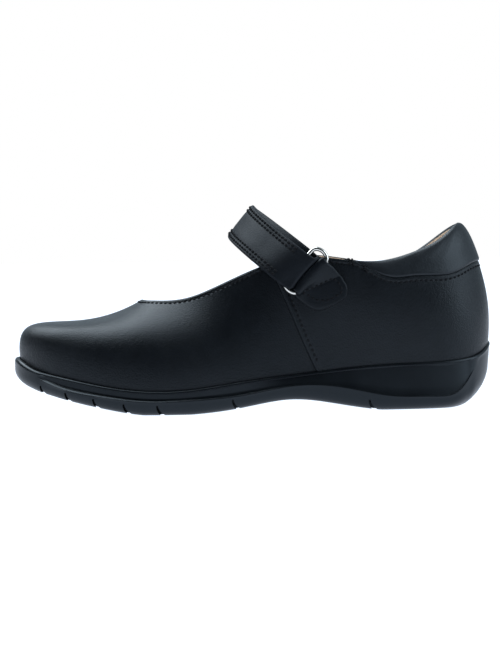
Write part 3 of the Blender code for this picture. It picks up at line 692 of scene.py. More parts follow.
# Collar: padded roll on the quarter's cut edge, black outside and over the top, tan inside
PAD_OUT = 1.5
PAD_TOP = -1.7
PAD_IN = 4.2
PAD_IN_LONG = 1.4
PAD_SHOULDER = 2.3
PAD_SHOULDER_LONG = 3.2
PAD_RIM = 0.9
PAD_FOOT = 2.3
PAD_EDGE = 0.35
PAD_HEM = 2.0
PAD_HEM_LONG = 0.8
PAD_SOFT = 2.0
PAD_FULL_AT = 7.0
PAD_TUCK = 0.35
PAD_LINED = 0.5
CREASES = (
    # start along the collar from the heel and as a share of its height, end likewise, depth, width
    (-9.0, 0.92, -20.0, 0.45, 0.10, 1.7),
    (-15.0, 0.97, -27.0, 0.60, 0.08, 1.5),
    (-4.0, 0.55, -12.0, 0.25, 0.07, 1.7),
    (-33.0, 0.95, -41.0, 0.55, 0.13, 1.5),
    (-24.0, 0.35, -44.0, 0.30, 0.12, 2.0),
    (8.0, 0.90, 17.0, 0.50, 0.20, 1.7),
    (26.0, 0.95, 35.0, 0.50, 0.16, 1.6),
    (15.0, 0.40, 38.0, 0.30, 0.13, 2.0),
)
collar_half = np.linspace(angle_of(COLLAR_START), math.pi, 130)
collar_angles = np.concatenate([collar_half, TURN - collar_half[-2::-1]])
collar_top = UPPER["top_z"](collar_angles)
collar_foot = collar_top - collar_drop(collar_angles) - PAD_TUCK
v_foot = v_at_height(collar_angles, collar_foot)
fullness = np.clip((collar_top - collar_foot - PAD_TUCK) / PAD_FULL_AT, 0.1, 1.0)
top_line = wall_curve(collar_angles, np.ones_like(collar_angles))
top_steps = np.linalg.norm(np.diff(top_line, axis=0), axis=1)
collar_along = np.concatenate([[0.0], np.cumsum(top_steps)])
collar_along -= collar_along[len(collar_half) - 1]
collar_span = np.linalg.norm(top_line - wall_curve(collar_angles, v_foot), axis=1)


def crease_depth(along, up, span):
    """Soft troughs in the padding, at the listed places."""
    depth = np.zeros(np.broadcast(along, up).shape)
    for start, start_up, end, end_up, deep, width in CREASES:
        a = np.stack(np.broadcast_arrays(along - start, (up - start_up) * span), axis=-1)
        b = np.stack(np.broadcast_arrays(end - start + 0.0 * along, (end_up - start_up) * span), axis=-1)
        share = np.clip((a * b).sum(-1) / (b * b).sum(-1), 0.0, 1.0)
        away = np.linalg.norm(a - share[..., None] * b, axis=-1)
        taper = np.sin(math.pi * (0.12 + 0.76 * share))
        depth += deep * taper * np.exp(-(away / width) ** 2)
        depth -= 0.35 * deep * taper * np.exp(-((away - 2.1 * width) / width) ** 2)
    return depth


pad_shares = 0.5 - 0.5 * np.cos(math.pi * np.linspace(0.0, 1.0, 30))
pad_up = np.concatenate([pad_shares, pad_shares[-2::-1]])
pad_outside = np.arange(len(pad_up)) < len(pad_shares)
up_grid = np.broadcast_to(pad_up[None, :], (len(collar_angles), len(pad_up)))
from_foot = up_grid * collar_span[:, None]
from_top = collar_span[:, None] - from_foot
outer_rise = (PAD_OUT - PAD_SHOULDER * np.exp(-from_top / PAD_SHOULDER_LONG)
              - PAD_RIM * np.exp(-from_top / PAD_EDGE) - PAD_FOOT * np.exp(-from_foot / PAD_EDGE))
inner_rise = (-PAD_IN + (PAD_IN + PAD_TOP) * np.exp(-from_top / PAD_IN_LONG)
              + PAD_HEM * np.exp(-from_foot / PAD_HEM_LONG))
soft = smooth_step(0.0, PAD_SOFT, from_top) * smooth_step(0.0, PAD_SOFT, from_foot)
outer_rise = outer_rise - soft * crease_depth(collar_along[:, None], up_grid, collar_span[:, None])
pad_rise = fullness[:, None] * np.where(pad_outside[None, :], outer_rise, inner_rise)
pad_v = v_foot[:, None] + (1.0 - v_foot)[:, None] * up_grid
pad_angle = np.broadcast_to(collar_angles[:, None], pad_v.shape)
collar_loops = wall_curve(pad_angle, pad_v) + wall_normal(pad_angle, pad_v) * pad_rise[..., None]
collar_points, collar_faces = loft(collar_loops)
lined = ~pad_outside[None, :] & (from_top > PAD_LINED)
collar_kinds = np.zeros(len(collar_faces), int)
collar_kinds[:-2] = lined[:-1].ravel()
collar = add_piece("collar_pad", collar_points, collar_faces, [COLLAR_LEATHER, LINING],
                   "collar_leather", kinds=collar_kinds)
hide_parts("collar")


# Outsole: rings from the tread up the side, over the lip and down to the bed
SOLE_ANGLES = np.arange(432) * TURN / 432
SOLE_STATIONS = HALF_LENGTH * (1.0 - np.cos(SOLE_ANGLES))
LIP_ROUND = 0.85
LIP_BACK = 0.15
STEP_ROUND = 0.8
STEP_EDGE = (
    # share of the side, then inset and rise of the chamfered edge as shares of its size
    (0.0, 0.0, 0.0),
    (0.01, 0.03, 0.12),
    (0.02, 0.12, 0.25),
    (0.03, 0.75, 0.9),
    (0.04, 0.95, 1.0),
)
RIM_LEAN = 0.35
PANEL_LEAN = 0.5
COVE = 0.15
UNDER_LIP = 0.35
SIPE_PITCH = 6.5
SIPE_DEPTH = 0.9
SIPE_WAVE = 1.6
SIPE_WAVE_LENGTH = 16.0
tread, wall_in, panel = (np.maximum(SOLE[name](SOLE_ANGLES), 0.0) for name in ("tread", "wall_in", "panel"))
round_in, round_up, step, lip, bed, lip_in = (
    SOLE[name](SOLE_ANGLES) for name in ("round_in", "round_up", "step", "lip", "bed", "lip_in"))
low_wall = tread + round_up
channel = smooth_step(0.45, 1.05, panel)
toe = 1.0 - smooth_step(4.0, 14.0, SOLE_STATIONS)
lip_edge = channel * (lip_in - LIP_BACK)
lip_wide = channel * LIP_ROUND + (1.0 - channel) * (0.9 + 0.2 * toe)
lip_tall = channel * LIP_ROUND + (1.0 - channel) * (1.0 + 0.6 * toe)
foot = 1.0 - PANEL_LEAN * smooth_step(100.0, 128.0, SOLE_STATIONS)
step_round = foot * np.minimum(STEP_ROUND, 0.3 * (lip - step))
plain_high = lip - lip_tall
plain_low = np.minimum(step - step_round, plain_high - 0.6)
sole_rings = []


def sole_ring(inset, height):
    """Adds a ring at an inset from the sole's outline."""
    sole_rings.append(outline(SOLE_ANGLES, inset, height))


def side_ring(share, inset, height):
    """Adds a ring on the sole's side: in the channel as given, flush where the channel has run out."""
    flush = plain_low + share * (plain_high - plain_low)
    sole_ring(0.3 * wall_in * (1.0 - share) + channel * inset, channel * height + (1.0 - channel) * flush)


for turn in np.radians(np.linspace(0.0, 90.0, 10)):
    sole_ring(wall_in + RIM_LEAN * channel + round_in * (1.0 - math.sin(turn)),
              tread + round_up * (1.0 - math.cos(turn)))
for share in (0.3, 0.6, 0.85):
    sole_ring(wall_in * (1.0 - 0.7 * share) + RIM_LEAN * channel * (1.0 - share),
              low_wall + share * np.maximum(plain_low - low_wall, 0.2))
for share, inset, rise in STEP_EDGE:
    side_ring(share, step_round * inset, plain_low + step_round * rise)
side_ring(0.1, foot * (panel - 0.35), step - 0.1)
side_ring(0.2, foot * (panel - 0.1), step)
for share in (0.0, 0.3, 0.7, 1.0):
    side_ring(0.3 + 0.5 * share, panel * (foot + (1.0 - foot) * share),
              step + COVE + share * (plain_high - UNDER_LIP - (step + COVE)))
side_ring(0.85, 0.5 * (panel + lip_edge), plain_high - 0.17)
side_ring(0.9, lip_edge + 0.06, plain_high - 0.1)
for turn in np.radians((0.0, 18.0, 36.0, 54.0, 72.0, 90.0)):
    sole_ring(lip_edge + lip_wide * (1.0 - math.cos(turn)), plain_high + lip_tall * math.sin(turn))
for share in (1.0, 0.5, 0.0):
    height = bed + share * (lip - 0.1 - bed)
    at = v_at_height(SOLE_ANGLES, np.maximum(height, bed + FIT_GAP))
    lap = LAP * (folded(SOLE_ANGLES) > SEAM_ANGLE)
    ring = wall_curve(SOLE_ANGLES, at) + wall_normal(SOLE_ANGLES, at) * lap[:, None]
    ring[:, :2] += plan_normal(SOLE_ANGLES) * (RIM_GAP - 0.15)
    ring[:, 2] = height
    sole_rings.append(ring)


def ring_skin(rings, capped, columns, relief):
    """Points and faces over rings: a fine cap with a relief on one end, a plain face on the other."""
    count = len(rings[0])
    half = count // 2
    points = np.concatenate(rings)
    faces = grid_faces(len(rings), count, False, True)
    last = (len(rings) - 1) * count
    plain, first = (last, 0) if capped == 0 else (0, last)
    faces.append([plain + i for i in range(count)])
    shares = np.linspace(0.0, 1.0, columns)[1:-1]
    near = rings[capped][1:half, None, :]
    inside = near + (rings[capped][:half:-1, None, :] - near) * shares[None, :, None]
    inside[..., 2] += relief(inside)
    number = len(points) + np.arange(inside[..., 0].size).reshape(inside.shape[:2])
    table = np.concatenate([first + np.arange(1, half)[:, None], number,
                            first + np.arange(count - 1, half, -1)[:, None]], axis=1)
    quads = np.stack([table[:-1, :-1], table[1:, :-1], table[1:, 1:], table[:-1, 1:]], axis=-1)
    faces += quads.reshape(-1, 4).tolist()
    for tip, row in ((first, table[0]), (first + half, table[-1])):
        faces += [[tip, one, two] for one, two in zip(row, row[1:])]
    return np.concatenate([points, inside.reshape(-1, 3)]), faces


def tread_relief(spots):
    """Shallow waved sipes in the tread face, on the pads of forefoot and heel."""
    x, y = spots[..., 0], spots[..., 1]
    wave = np.mod(x + SIPE_WAVE * np.cos(y * TURN / SIPE_WAVE_LENGTH), SIPE_PITCH) / SIPE_PITCH
    slot = smooth_step(0.36, 0.42, wave) * (1.0 - smooth_step(0.58, 0.64, wave))
    station = x + HALF_LENGTH
    pads = (smooth_step(14.0, 18.0, station) * (1.0 - smooth_step(92.0, 96.0, station))
            + smooth_step(158.0, 161.0, station) * (1.0 - smooth_step(186.0, 190.0, station)))
    return SIPE_DEPTH * slot * pads


outsole = add_piece("outsole_fine", *ring_skin(sole_rings, 0, 32, tread_relief), [RUBBER], "sole_rubber")
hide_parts("outsole")

GROOVE_STATIONS = (15.3, 26.4, 38.5, 51.4, 65.5, 97.0, 154.5)
GROOVE_RISE = 4.3
GROOVE_SWEEP = 2.2
GROOVE_REACH = 9.0
GROOVE_HALF_WIDTH = 0.75
GROOVE_TAPER = 0.4
GROOVE_BEYOND = 60.0
GROOVE_SHARP = 38.0


def groove_cutters():
    """Hooked slots from both sides of the tread, one closed bar each."""
    parts = []
    for station in GROOVE_STATIONS:
        base = float(np.maximum(SOLE["tread"](angle_of(station)), 0.0))
        share = np.linspace(-0.7, 1.0, 12)
        middle = np.stack([station - HALF_LENGTH - GROOVE_SWEEP * (1.0 - (1.0 - share) ** 2),
                           base + GROOVE_RISE * share], axis=1)
        ahead = unit(np.gradient(middle, axis=0))
        side = np.stack([-ahead[:, 1], ahead[:, 0]], axis=1)
        width = (GROOVE_HALF_WIDTH - GROOVE_TAPER * np.maximum(share, 0.0))[:, None]
        ring = np.concatenate([middle + side * width, (middle - side * width)[::-1]])
        for side in (-1.0, 1.0):
            rim = float(outline(np.array([-side * angle_of(station)]), np.zeros(1), np.zeros(1))[0, 1])
            loops = []
            for y in (side * GROOVE_BEYOND, rim - side * GROOVE_REACH):
                loops.append(np.stack([ring[:, 0], np.full(len(ring), y), ring[:, 1]], axis=1))
            parts.append(loft(np.array(loops)))
    return joined(parts)


def cut_away(piece, points, faces):
    """Cuts closed bars out of a piece and keeps the result as its mesh."""
    tool = put("cutter", make_mesh("cutter", points, faces))
    cut = piece.modifiers.new("cut", "BOOLEAN")
    cut.operation = "DIFFERENCE"
    cut.solver = "EXACT"
    cut.object = tool
    bpy.context.view_layer.update()
    result = bpy.data.meshes.new_from_object(piece.evaluated_get(bpy.context.evaluated_depsgraph_get()))
    piece.modifiers.clear()
    piece.data = result
    bpy.data.objects.remove(tool, do_unlink=True)
    result.set_sharp_from_angle(angle=math.radians(GROOVE_SHARP))


cut_away(outsole, *groove_cutters())


# Insole: a sock lining that cups a little at its rim
INSOLE_THICKNESS = 2.4
INSOLE_INSET = 4.9
INSOLE_EDGE = (
    # inset and rise above the top face
    (-0.1, 0.3),
    (0.2, 0.8),
    (0.8, 0.9),
    (2.0, 0.6),
    (4.0, 0.2),
)
sock_angles = np.arange(200) * TURN / 200
sock_base = SOLE["bed"](sock_angles) + FIT_GAP
sock_profile = [(0.5, 0.0), (0.0, 0.3)] + [(inset, INSOLE_THICKNESS + rise) for inset, rise in INSOLE_EDGE]
sock_rings = [outline(sock_angles, INSOLE_INSET + inset, sock_base + rise) for inset, rise in sock_profile]


def sock_relief(spots):
    """Slightly hollow heel seat and a low rise under the arch."""
    station = spots[..., 0] + HALF_LENGTH
    return 0.5 * bump_at(station, 118.0, 22.0) - 0.5 * bump_at(station, 175.0, 16.0)


sock = add_piece("sock_lining", *ring_skin(sock_rings, -1, 20, sock_relief), [LINING], "insole_lining")
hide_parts("insole")


# Surface to lay the strap and the tab on
skin_angles = np.arange(208) * TURN / 208
skin_v = np.linspace(0.0, 1.0, 31)[:, None] * edge_v(skin_angles)[None, :]
skin_grid = np.broadcast_to(skin_angles[None, :], skin_v.shape)
skin_lift = LAP * (folded(skin_grid) > SEAM_ANGLE)
skin_points = wall_curve(skin_grid, skin_v) + wall_normal(skin_grid, skin_v) * skin_lift[..., None]
SKIN = BVHTree.FromPolygons([Vector(point) for point in skin_points.reshape(-1, 3)],
                            grid_faces(31, 208, False, True))


def on_wall(x, z, side):
    """Point and outward normal of the upper's outer face in side view, or None beside it."""
    hit, normal, _, _ = SKIN.ray_cast(Vector((x, side * 200.0, z)), Vector((0.0, -side, 0.0)))
    if hit is None:
        return None
    if normal.y * side < 0.0:
        normal = -normal
    return np.array(hit), np.array(normal)


# Ring
RING_STATION = 126.0
RING_HEIGHT = 58.95
RING_TILT = math.radians(47.0)
RING_WIRE = 1.8
RING_HALF_BAR = 7.95
RING_END = 2.9
RING_HALF_GAP = 3.8
RING_LIFT = 3.8
ring_base, ring_normal = on_wall(RING_STATION - HALF_LENGTH, RING_HEIGHT, -1.0)
RING_BAR = in_side_view(RING_TILT)
RING_BAR -= ring_normal * RING_BAR.dot(ring_normal)
RING_BAR /= np.linalg.norm(RING_BAR)
RING_BACK = np.cross(ring_normal, RING_BAR)
RING_BACK *= math.copysign(1.0, RING_BACK[0])


def ring_frame(back, bar, lift):
    """Point beside the ring: towards the heel, along the bars and off the quarter."""
    return ring_base + RING_BACK * back + RING_BAR * bar + ring_normal * lift


wire_line = []
for turn in np.linspace(0.0, TURN, 49)[:-1]:
    end = math.copysign(RING_HALF_BAR, math.sin(turn + 1e-9))
    wire_line.append(ring_frame(RING_HALF_GAP * math.cos(turn), RING_END * math.sin(turn) + end, RING_LIFT))
wire_line = np.array(wire_line + wire_line[:1])
wire_line = line_at(wire_line, np.linspace(0.0, line_length(wire_line), 181)[:-1])
ring = add_piece("ring_wire", *tube(wire_line, 0.5 * RING_WIRE, 20, closed=True), [NICKEL], "ring_nickel")
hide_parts("strap_ring")


# Bands of leather

class Band:
    """Strip laid over rows of middle points; marks are their distances from its middle line."""

    def __init__(self, thickness):
        self.half = 0.5 * thickness
        self.rows = []
        self.marks = []

    def add(self, points, marks):
        self.rows.append(points)
        self.marks.append(marks)

    def make_normals(self, row=0, along=None):
        """Normals of all the points, turned along a direction at the middle of one row."""
        self.rows = np.array(self.rows)
        self.marks = np.array(self.marks)
        self.normals = unit(np.cross(np.gradient(self.rows, axis=0), np.gradient(self.rows, axis=1)))
        if along is not None and self.normals[row, self.rows.shape[1] // 2].dot(along) < 0.0:
            self.normals = -self.normals

    def spots(self, row, marks):
        """Points and normals of one row at distances from the middle line."""
        return [np.stack([np.interp(marks, self.marks[row], column) for column in grid[row].T], axis=1)
                for grid in (self.rows, self.normals)]

    def solid(self, relief, wide=27, under=11):
        """Points and faces of the closed band, with rounded edges and a relief on its face."""
        turns = np.radians(np.linspace(75.0, -75.0, 6))
        round_up = self.half * np.sin(turns)
        loops = []
        for row, marks in enumerate(self.marks):
            edge = min(self.half, 0.45 * (marks[-1] - marks[0]))
            low, high = marks[0] + edge, marks[-1] - edge
            face = np.linspace(low, high, wide)
            bulge = edge * np.cos(turns)
            points, normals = self.spots(row, np.concatenate(
                [face, high + bulge, np.linspace(high, low, under), low - bulge]))
            lift = np.concatenate([self.half + relief(row, face - marks[0], marks[-1] - face), round_up,
                                   np.full(under, -self.half), -round_up])
            loops.append(points + normals * lift[:, None])
        return loft(np.array(loops))

    def line(self, rows, edge, inset, lift):
        """Line along some rows at an inset from the first or the last mark, with its normals."""
        line = []
        out = []
        for row in rows:
            points, normals = self.spots(row, self.marks[row, edge:][:1] + inset)
            normal = unit(normals)[0]
            line.append(points[0] + normal * lift)
            out.append(normal * math.copysign(1.0, lift))
        return np.array(line), np.array(out)


# Tab: a strip folded round the ring's rear bar, both layers sewn to the quarter
TAB_THICKNESS = 1.3
TAB_LOOP = 2.2
TAB_LOOP_LONG = 3.0
TAB_SKEW = 0.45
TAB_FLAT_ROWS = 16
TAB_CROWN = 0.10
FOLD_SQUARE = 0.16
FOLD_PRESS = 0.42
TAB_COLUMNS = ("back", "lower", "upper")
TAB_ROWS = (
    (0.0, -9.2, 9.0),
    (3.3, -9.5, 8.7),
    (6.7, -10.3, 8.2),
    (10.0, -10.9, 8.1),
    (12.5, -10.5, 8.0),
    (14.5, -9.1, 7.6),
    (16.4, -6.7, 7.1),
    (17.8, -3.9, 6.4),
    (18.9, -0.4, 5.3),
    (19.5, 2.0, 3.6),
)
TAB_END = TAB_ROWS[-1][0]
tab_edges = dict(zip(TAB_COLUMNS, np.array(TAB_ROWS).T))
tab_low = 0.3 + 0.5 * TAB_THICKNESS
tab_high = tab_low + TAB_THICKNESS + FIT_GAP
TAB_TIP = TAB_END - np.array([0.0, 0.05, 0.15, 0.35, 0.7, 1.2, 1.8])
tab_path = [(back, tab_low) for back in TAB_TIP]
tab_path += [(back, tab_low) for back in np.linspace(TAB_END - 2.6, 9.0, TAB_FLAT_ROWS)]
bend_start = len(tab_path)
for turn in np.radians(np.linspace(-90.0, -270.0, 21)):
    tab_path.append((RING_HALF_GAP - TAB_LOOP_LONG * max(-math.cos(turn), 0.0) ** FOLD_SQUARE,
                     RING_LIFT + TAB_LOOP * math.sin(turn)))
bend_end = len(tab_path)
tab_path += [(back, tab_high) for back in np.linspace(8.2, TAB_END - 2.6, TAB_FLAT_ROWS)]
tab_path += [(back, tab_high) for back in TAB_TIP[::-1]]
tab_path = np.array(tab_path)
bend_rows = np.concatenate([
    [tab_path[bend_start - 1]], np.linspace(tab_path[bend_start - 1], tab_path[bend_start], 8)[1:-1],
    tab_path[bend_start:bend_end], np.linspace(tab_path[bend_end - 1], tab_path[bend_end], 10)[1:-1]])
for _ in range(6):
    bend_rows = softened(bend_rows)
tab_path = np.concatenate([tab_path[:bend_start - 1], bend_rows, tab_path[bend_end:]])
TAB_ACROSS = np.linspace(0.0, 1.0, 15)


def tab_edge(side, back):
    """Upper or lower edge of the tab, smoothed between the rows of its table."""
    near = back + np.array([-0.8, -0.4, 0.0, 0.4, 0.8]) * min(1.0, (TAB_END - back) / 0.8)
    return np.interp(near, tab_edges["back"], tab_edges[side]).mean()


def fold_bow(bar):
    """How far the two folds in the ring draw back towards the ends of its bars."""
    return 0.010 * bar * bar


def pressed(points, side):
    """Flattens a fold where the two folds in the ring press on each other."""
    from_ring = points - ring_base
    limit = FOLD_PRESS + fold_bow(from_ring @ RING_BAR) - 0.02 * side
    beyond = np.maximum(side * (from_ring @ RING_BACK - limit), 0.0)
    return points - side * np.where(points[:, 1] < 0.0, beyond, 0.0)[:, None] * RING_BACK


tab = Band(TAB_THICKNESS)
for back, lift in tab_path:
    marks = tab_edge("lower", back) + TAB_ACROSS * (tab_edge("upper", back) - tab_edge("lower", back))
    bowed = 1.0 - smooth_step(2.0, 6.0, back)
    skew = TAB_SKEW * smooth_step(4.0, 7.6, back) * (1.0 - smooth_step(8.6, 15.0, back))
    row = []
    for across in marks:
        place = back + bowed * fold_bow(across) + skew * across
        laid = smooth_step(4.5, 8.2, place)
        flat = ring_frame(place, across, lift)
        surface = on_wall(flat[0], flat[2], -1.0)
        if surface is None or laid == 0.0:
            row.append(flat)
        else:
            row.append((1.0 - laid) * flat + laid * (surface[0] + surface[1] * lift))
    tab.add(row, marks)
tab.make_normals(-8, ring_normal)


def tab_relief(row, from_low, from_high):
    """Soft crown that rounds off towards the edges."""
    return TAB_CROWN * smooth_step(0.3, 2.0, np.minimum(from_low, from_high))


tab_points, tab_faces = tab.solid(tab_relief)
tab_piece = add_piece("ring_tab_leather", pressed(tab_points, -1.0), tab_faces, [TAB_LEATHER],
                      "tab_leather")
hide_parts("ring_tab")
TAB_BOX = ((7.9, 5.4), (13.6, 5.4), (16.6, 4.4), (17.1, 2.8), (15.4, -2.3), (12.2, -6.2), (8.8, -7.3),
           (7.9, -6.4), (7.9, 5.4))
tab_fold = int(np.argmin(tab_path[:, 0]))


def on_tab(back, bar):
    """Point and normal on the tab's upper layer."""
    near = np.interp(back, tab_path[tab_fold:, 0], np.arange(tab_fold, len(tab_path)))
    low = int(near)
    one, two = (np.array(tab.spots(row, np.array([bar])))[:, 0] for row in (low, low + 1))
    spot, normal = one + (near - low) * (two - one)
    return spot, unit(normal)


box_line = []
box_out = []
corners = np.array([(back, bar, 0.0) for back, bar in TAB_BOX])
for back, bar, _ in line_at(corners, np.linspace(0.0, line_length(corners), 140)):
    spot, normal = on_tab(back, bar)
    box_line.append(spot + normal * (0.5 * TAB_THICKNESS + 0.02))
    box_out.append(normal)
add_piece("tab_stitching", *stitch_row(np.array(box_line), np.array(box_out)), [THREAD], "tab_leather")


# Strap: sewn to the inner side, over the instep, round the ring's front bar and back over itself
STRAP_THICKNESS = 1.8
STRAP_HALF_AT_RING = 8.6
STRAP_HALF_AT_CREST = 8.75
STRAP_RISE = 27.9
STRAP_RISE_ANGLE = math.radians(140.6)
STRAP_AXIS_AT_CREST = math.radians(50.5)
STRAP_OUTER = (14.0, 9.5)
STRAP_INNER = (18.0, 12.5)
STRAP_TWIST = 0.2
STRAP_FOLD = 2.2
STRAP_FOLD_LONG = 3.6
STRAP_LAYER = 2.4
STRAP_TIP_ANGLE = math.radians(146.0)
STRAP_ROOT = 15.0
STRAP_BAR = -0.3
STRAP_SLIP = 1.8
STRAP_SLIP_AT_CREST = 0.4
STRAP_WIDER = 0.15
UNDER_NARROW = 0.8
WALL_CLEAR = 0.4
strap_start = ring_frame(-RING_HALF_GAP, STRAP_BAR, RING_LIFT - STRAP_FOLD)
strap_up = in_side_view(STRAP_RISE_ANGLE)
crest_axis = in_side_view(STRAP_AXIS_AT_CREST)
inner_base, inner_normal = on_wall(strap_start[0], strap_start[2], 1.0)
inner_axis = RING_BAR * np.array([1.0, -1.0, 1.0])
STRAP_LIFT = WALL_CLEAR + 0.5 * STRAP_THICKNESS
inner_y = inner_base[1] + STRAP_LIFT
arch_half = 0.5 * (inner_y - strap_start[1])


def arch_point(turn, lift):
    """Middle of the strap over the instep: 0 at the ring, half a turn at the inner side."""
    far = min(turn, math.pi - turn) / (0.5 * math.pi)
    near = 1.0 - far
    ring_handle, crest_handle = STRAP_OUTER if turn < 0.5 * math.pi else STRAP_INNER
    inward = 3.0 * near * far * far * (arch_half - crest_handle) + far ** 3 * arch_half
    rise = (3.0 * near * near * far * ring_handle + 3.0 * near * far * far * STRAP_RISE
            + far ** 3 * STRAP_RISE)
    go_in = 2.0 * near * far * (arch_half - crest_handle) + far * far * crest_handle
    go_up = near * near * ring_handle + 2.0 * near * far * (STRAP_RISE - ring_handle)
    size = math.hypot(go_in, go_up)
    inward -= lift * go_up / size
    point = strap_start + strap_up * (rise + lift * go_in / size)
    point[1] = strap_start[1] + inward if turn < 0.5 * math.pi else inner_y - inward
    return point


def strap_axis(turn):
    """Direction across the strap: along the ring's bar, front edge out where it clears the topline."""
    share = math.sin(turn) ** 2
    end = RING_BAR if turn < 0.5 * math.pi else inner_axis
    axis = (1.0 - share) * end + share * crest_axis
    axis[1] += STRAP_TWIST * math.sin(2.0 * turn)
    return axis / np.linalg.norm(axis)


def strap_half(turn):
    return STRAP_HALF_AT_CREST + (STRAP_HALF_AT_RING - STRAP_HALF_AT_CREST) * math.cos(turn) ** 2


def on_inner_side(x, z):
    """Middle of the strap's sewn end: on the quarter, or on its plane above the topline."""
    surface = on_wall(x, z, 1.0)
    if surface is None or surface[0][1] < 0.0:
        tilt = inner_normal[0] * (x - inner_base[0]) + inner_normal[2] * (z - inner_base[2])
        surface = (np.array([x, inner_base[1] - tilt / inner_normal[1], z]), inner_normal)
    return surface[0] + surface[1] * STRAP_LIFT


STRAP_ACROSS = np.linspace(-1.0, 1.0, 15)
strap = Band(STRAP_THICKNESS)


def strap_row(middle, axis, half, slip=0.0):
    """One row of points across the strap, slipped down along its axis."""
    marks = STRAP_ACROSS * half - slip
    strap.add(middle + axis * marks[:, None], marks)


for part in 1.0 - np.concatenate([[0.0, 0.004, 0.012, 0.03, 0.06], np.linspace(0.1, 0.88, 14)]):
    middle = arch_point(math.pi, 0.0) - strap_up * STRAP_ROOT * part
    marks = STRAP_ACROSS * STRAP_HALF_AT_RING * max(1.0 - part ** 6, 0.004) ** 0.4
    spots = middle + inner_axis * marks[:, None]
    strap.add([on_inner_side(spot[0], spot[2]) for spot in spots], marks)
root_rows = len(strap.rows)
for turn in np.linspace(math.pi, 0.0, 91)[1:]:
    narrowed = strap_half(turn) - UNDER_NARROW * math.sin(turn) ** 4
    strap_row(arch_point(turn, 0.0), strap_axis(turn), narrowed)
for bend in np.linspace(-90.0, 90.0, 28)[1:-1]:
    reach = math.cos(math.radians(bend)) ** FOLD_SQUARE
    lift = RING_LIFT + STRAP_FOLD * math.sin(math.radians(bend))
    slip = (STRAP_SLIP + STRAP_SLIP_AT_CREST) * smooth_step(30.0, 90.0, bend)
    marks = STRAP_ACROSS * STRAP_HALF_AT_RING + STRAP_BAR - slip
    backs = -RING_HALF_GAP + reach * (STRAP_FOLD_LONG + fold_bow(marks))
    strap.add([ring_frame(back, mark, lift) for back, mark in zip(backs, marks)], marks)
layer_start = len(strap.rows)
layer_shares = np.concatenate([np.linspace(0.0, 0.96, 90), [0.972, 0.982, 0.99, 0.996, 0.999, 1.0]])
for turn in STRAP_TIP_ANGLE * layer_shares:
    share = turn / STRAP_TIP_ANGLE
    lift = STRAP_LAYER + (2.0 * STRAP_FOLD - STRAP_LAYER) * (1.0 - smooth_step(0.05, 0.6, turn))
    wider = STRAP_WIDER * max(math.sin(2.0 * turn), 0.0)
    half = (strap_half(turn) - 0.2 * share + wider) * max(1.0 - share ** 14, 0.002) ** 0.45
    slip = STRAP_SLIP_AT_CREST + STRAP_SLIP * max(math.cos(turn), 0.0) ** 0.6 + wider
    strap_row(arch_point(turn, lift), strap_axis(turn), half, slip)
near = slice(root_rows - 8, root_rows + 10)
for _ in range(8):
    strap.rows[near] = softened(np.array(strap.rows[near]))
strap.make_normals(layer_start + 45, UP)
STRAP_STITCHES = (1.5, 3.1)
STRAP_STITCH = 1.0
STITCH_SINK = 0.10
STRAP_CROWN = 0.14
STRAP_FURROW = 0.17
STRAP_FURROW_WIDTH = 0.42


def strap_relief(row, from_low, from_high):
    """Two sewn furrows along each edge and a low crown between them."""
    edge = np.minimum(from_low, from_high)
    relief = STRAP_CROWN * smooth_step(3.2, 6.0, edge)
    for distance in STRAP_STITCHES:
        relief = relief - STRAP_FURROW * bump_at(edge, distance, STRAP_FURROW_WIDTH)
    return relief * (row >= layer_start)


strap_points, strap_faces = strap.solid(strap_relief)
strap_piece = add_piece("strap_leather_band", pressed(strap_points, 1.0), strap_faces, [STRAP_LEATHER_PAINTED_LIGHT],
                        "strap_leather")
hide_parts("strap")

strap_stitches = []
layer_rows = range(layer_start + 5, len(strap.rows) - 9)
inner_rows = range(4, root_rows + 24)
for distance in STRAP_STITCHES:
    for rows, lift in ((layer_rows, strap.half - STITCH_SINK), (inner_rows, -strap.half)):
        for edge, inset in ((0, distance), (-1, -distance)):
            line, out = strap.line(rows, edge, inset, lift)
            strap_stitches.append(stitch_row(line, out, thick=STRAP_STITCH))
add_piece("strap_stitching", *joined(strap_stitches), [THREAD], "strap_leather")

# Fastening tape between the two layers of the strap
TAPE_THICKNESS = 0.56
TAPE_NARROW = 1.6
TAPE_SLIP = 0.7
tape = Band(TAPE_THICKNESS)
tape_lift = strap.half + tape.half + 0.01
for turn in np.linspace(0.10, STRAP_TIP_ANGLE - 0.12, 70):
    marks = STRAP_ACROSS * (strap_half(turn) - TAPE_NARROW) - TAPE_SLIP
    tape.add(arch_point(turn, tape_lift) + strap_axis(turn) * marks[:, None], marks)
tape.make_normals()


def no_relief(row, from_low, from_high):
    return 0.0 * from_low


add_piece("fastening_tape", *tape.solid(no_relief), [FUZZ], "strap_leather")

# Thread bars at the front end of the collar
TACK_RADIUS = 0.32
tack_parts = []
for offset, swing in ((-2.9, 0.6), (-1.0, -0.5), (3.0, -0.5)):
    at = angle_of(COLLAR_START) + offset / SEAM_SPEED
    start, out = wall_line([at, at + swing / SEAM_SPEED], [2.4, 1.6], LAP + 0.1)
    over, _ = wall_line([at + swing / SEAM_SPEED, at], [0.0, 0.0], 0.1)
    bend = np.array([
        start[0] - out[0] * 0.3,
        start[0] + out[0] * 0.2,
        start[1] + out[1] * 0.3,
        over[0] + out[0] * 0.8 + UP * 0.4,
        over[1] - out[0] * 0.4 + UP * 0.5,
        over[1] - out[0] * 1.8 - UP * 0.4,
    ])
    for _ in range(2):
        bend = softened(line_at(bend, np.linspace(0.0, line_length(bend), 24)))
    tack_parts.append(tube(bend, TACK_RADIUS, 8))
add_piece("collar_tack", *joined(tack_parts), [THREAD], "upper_leather")


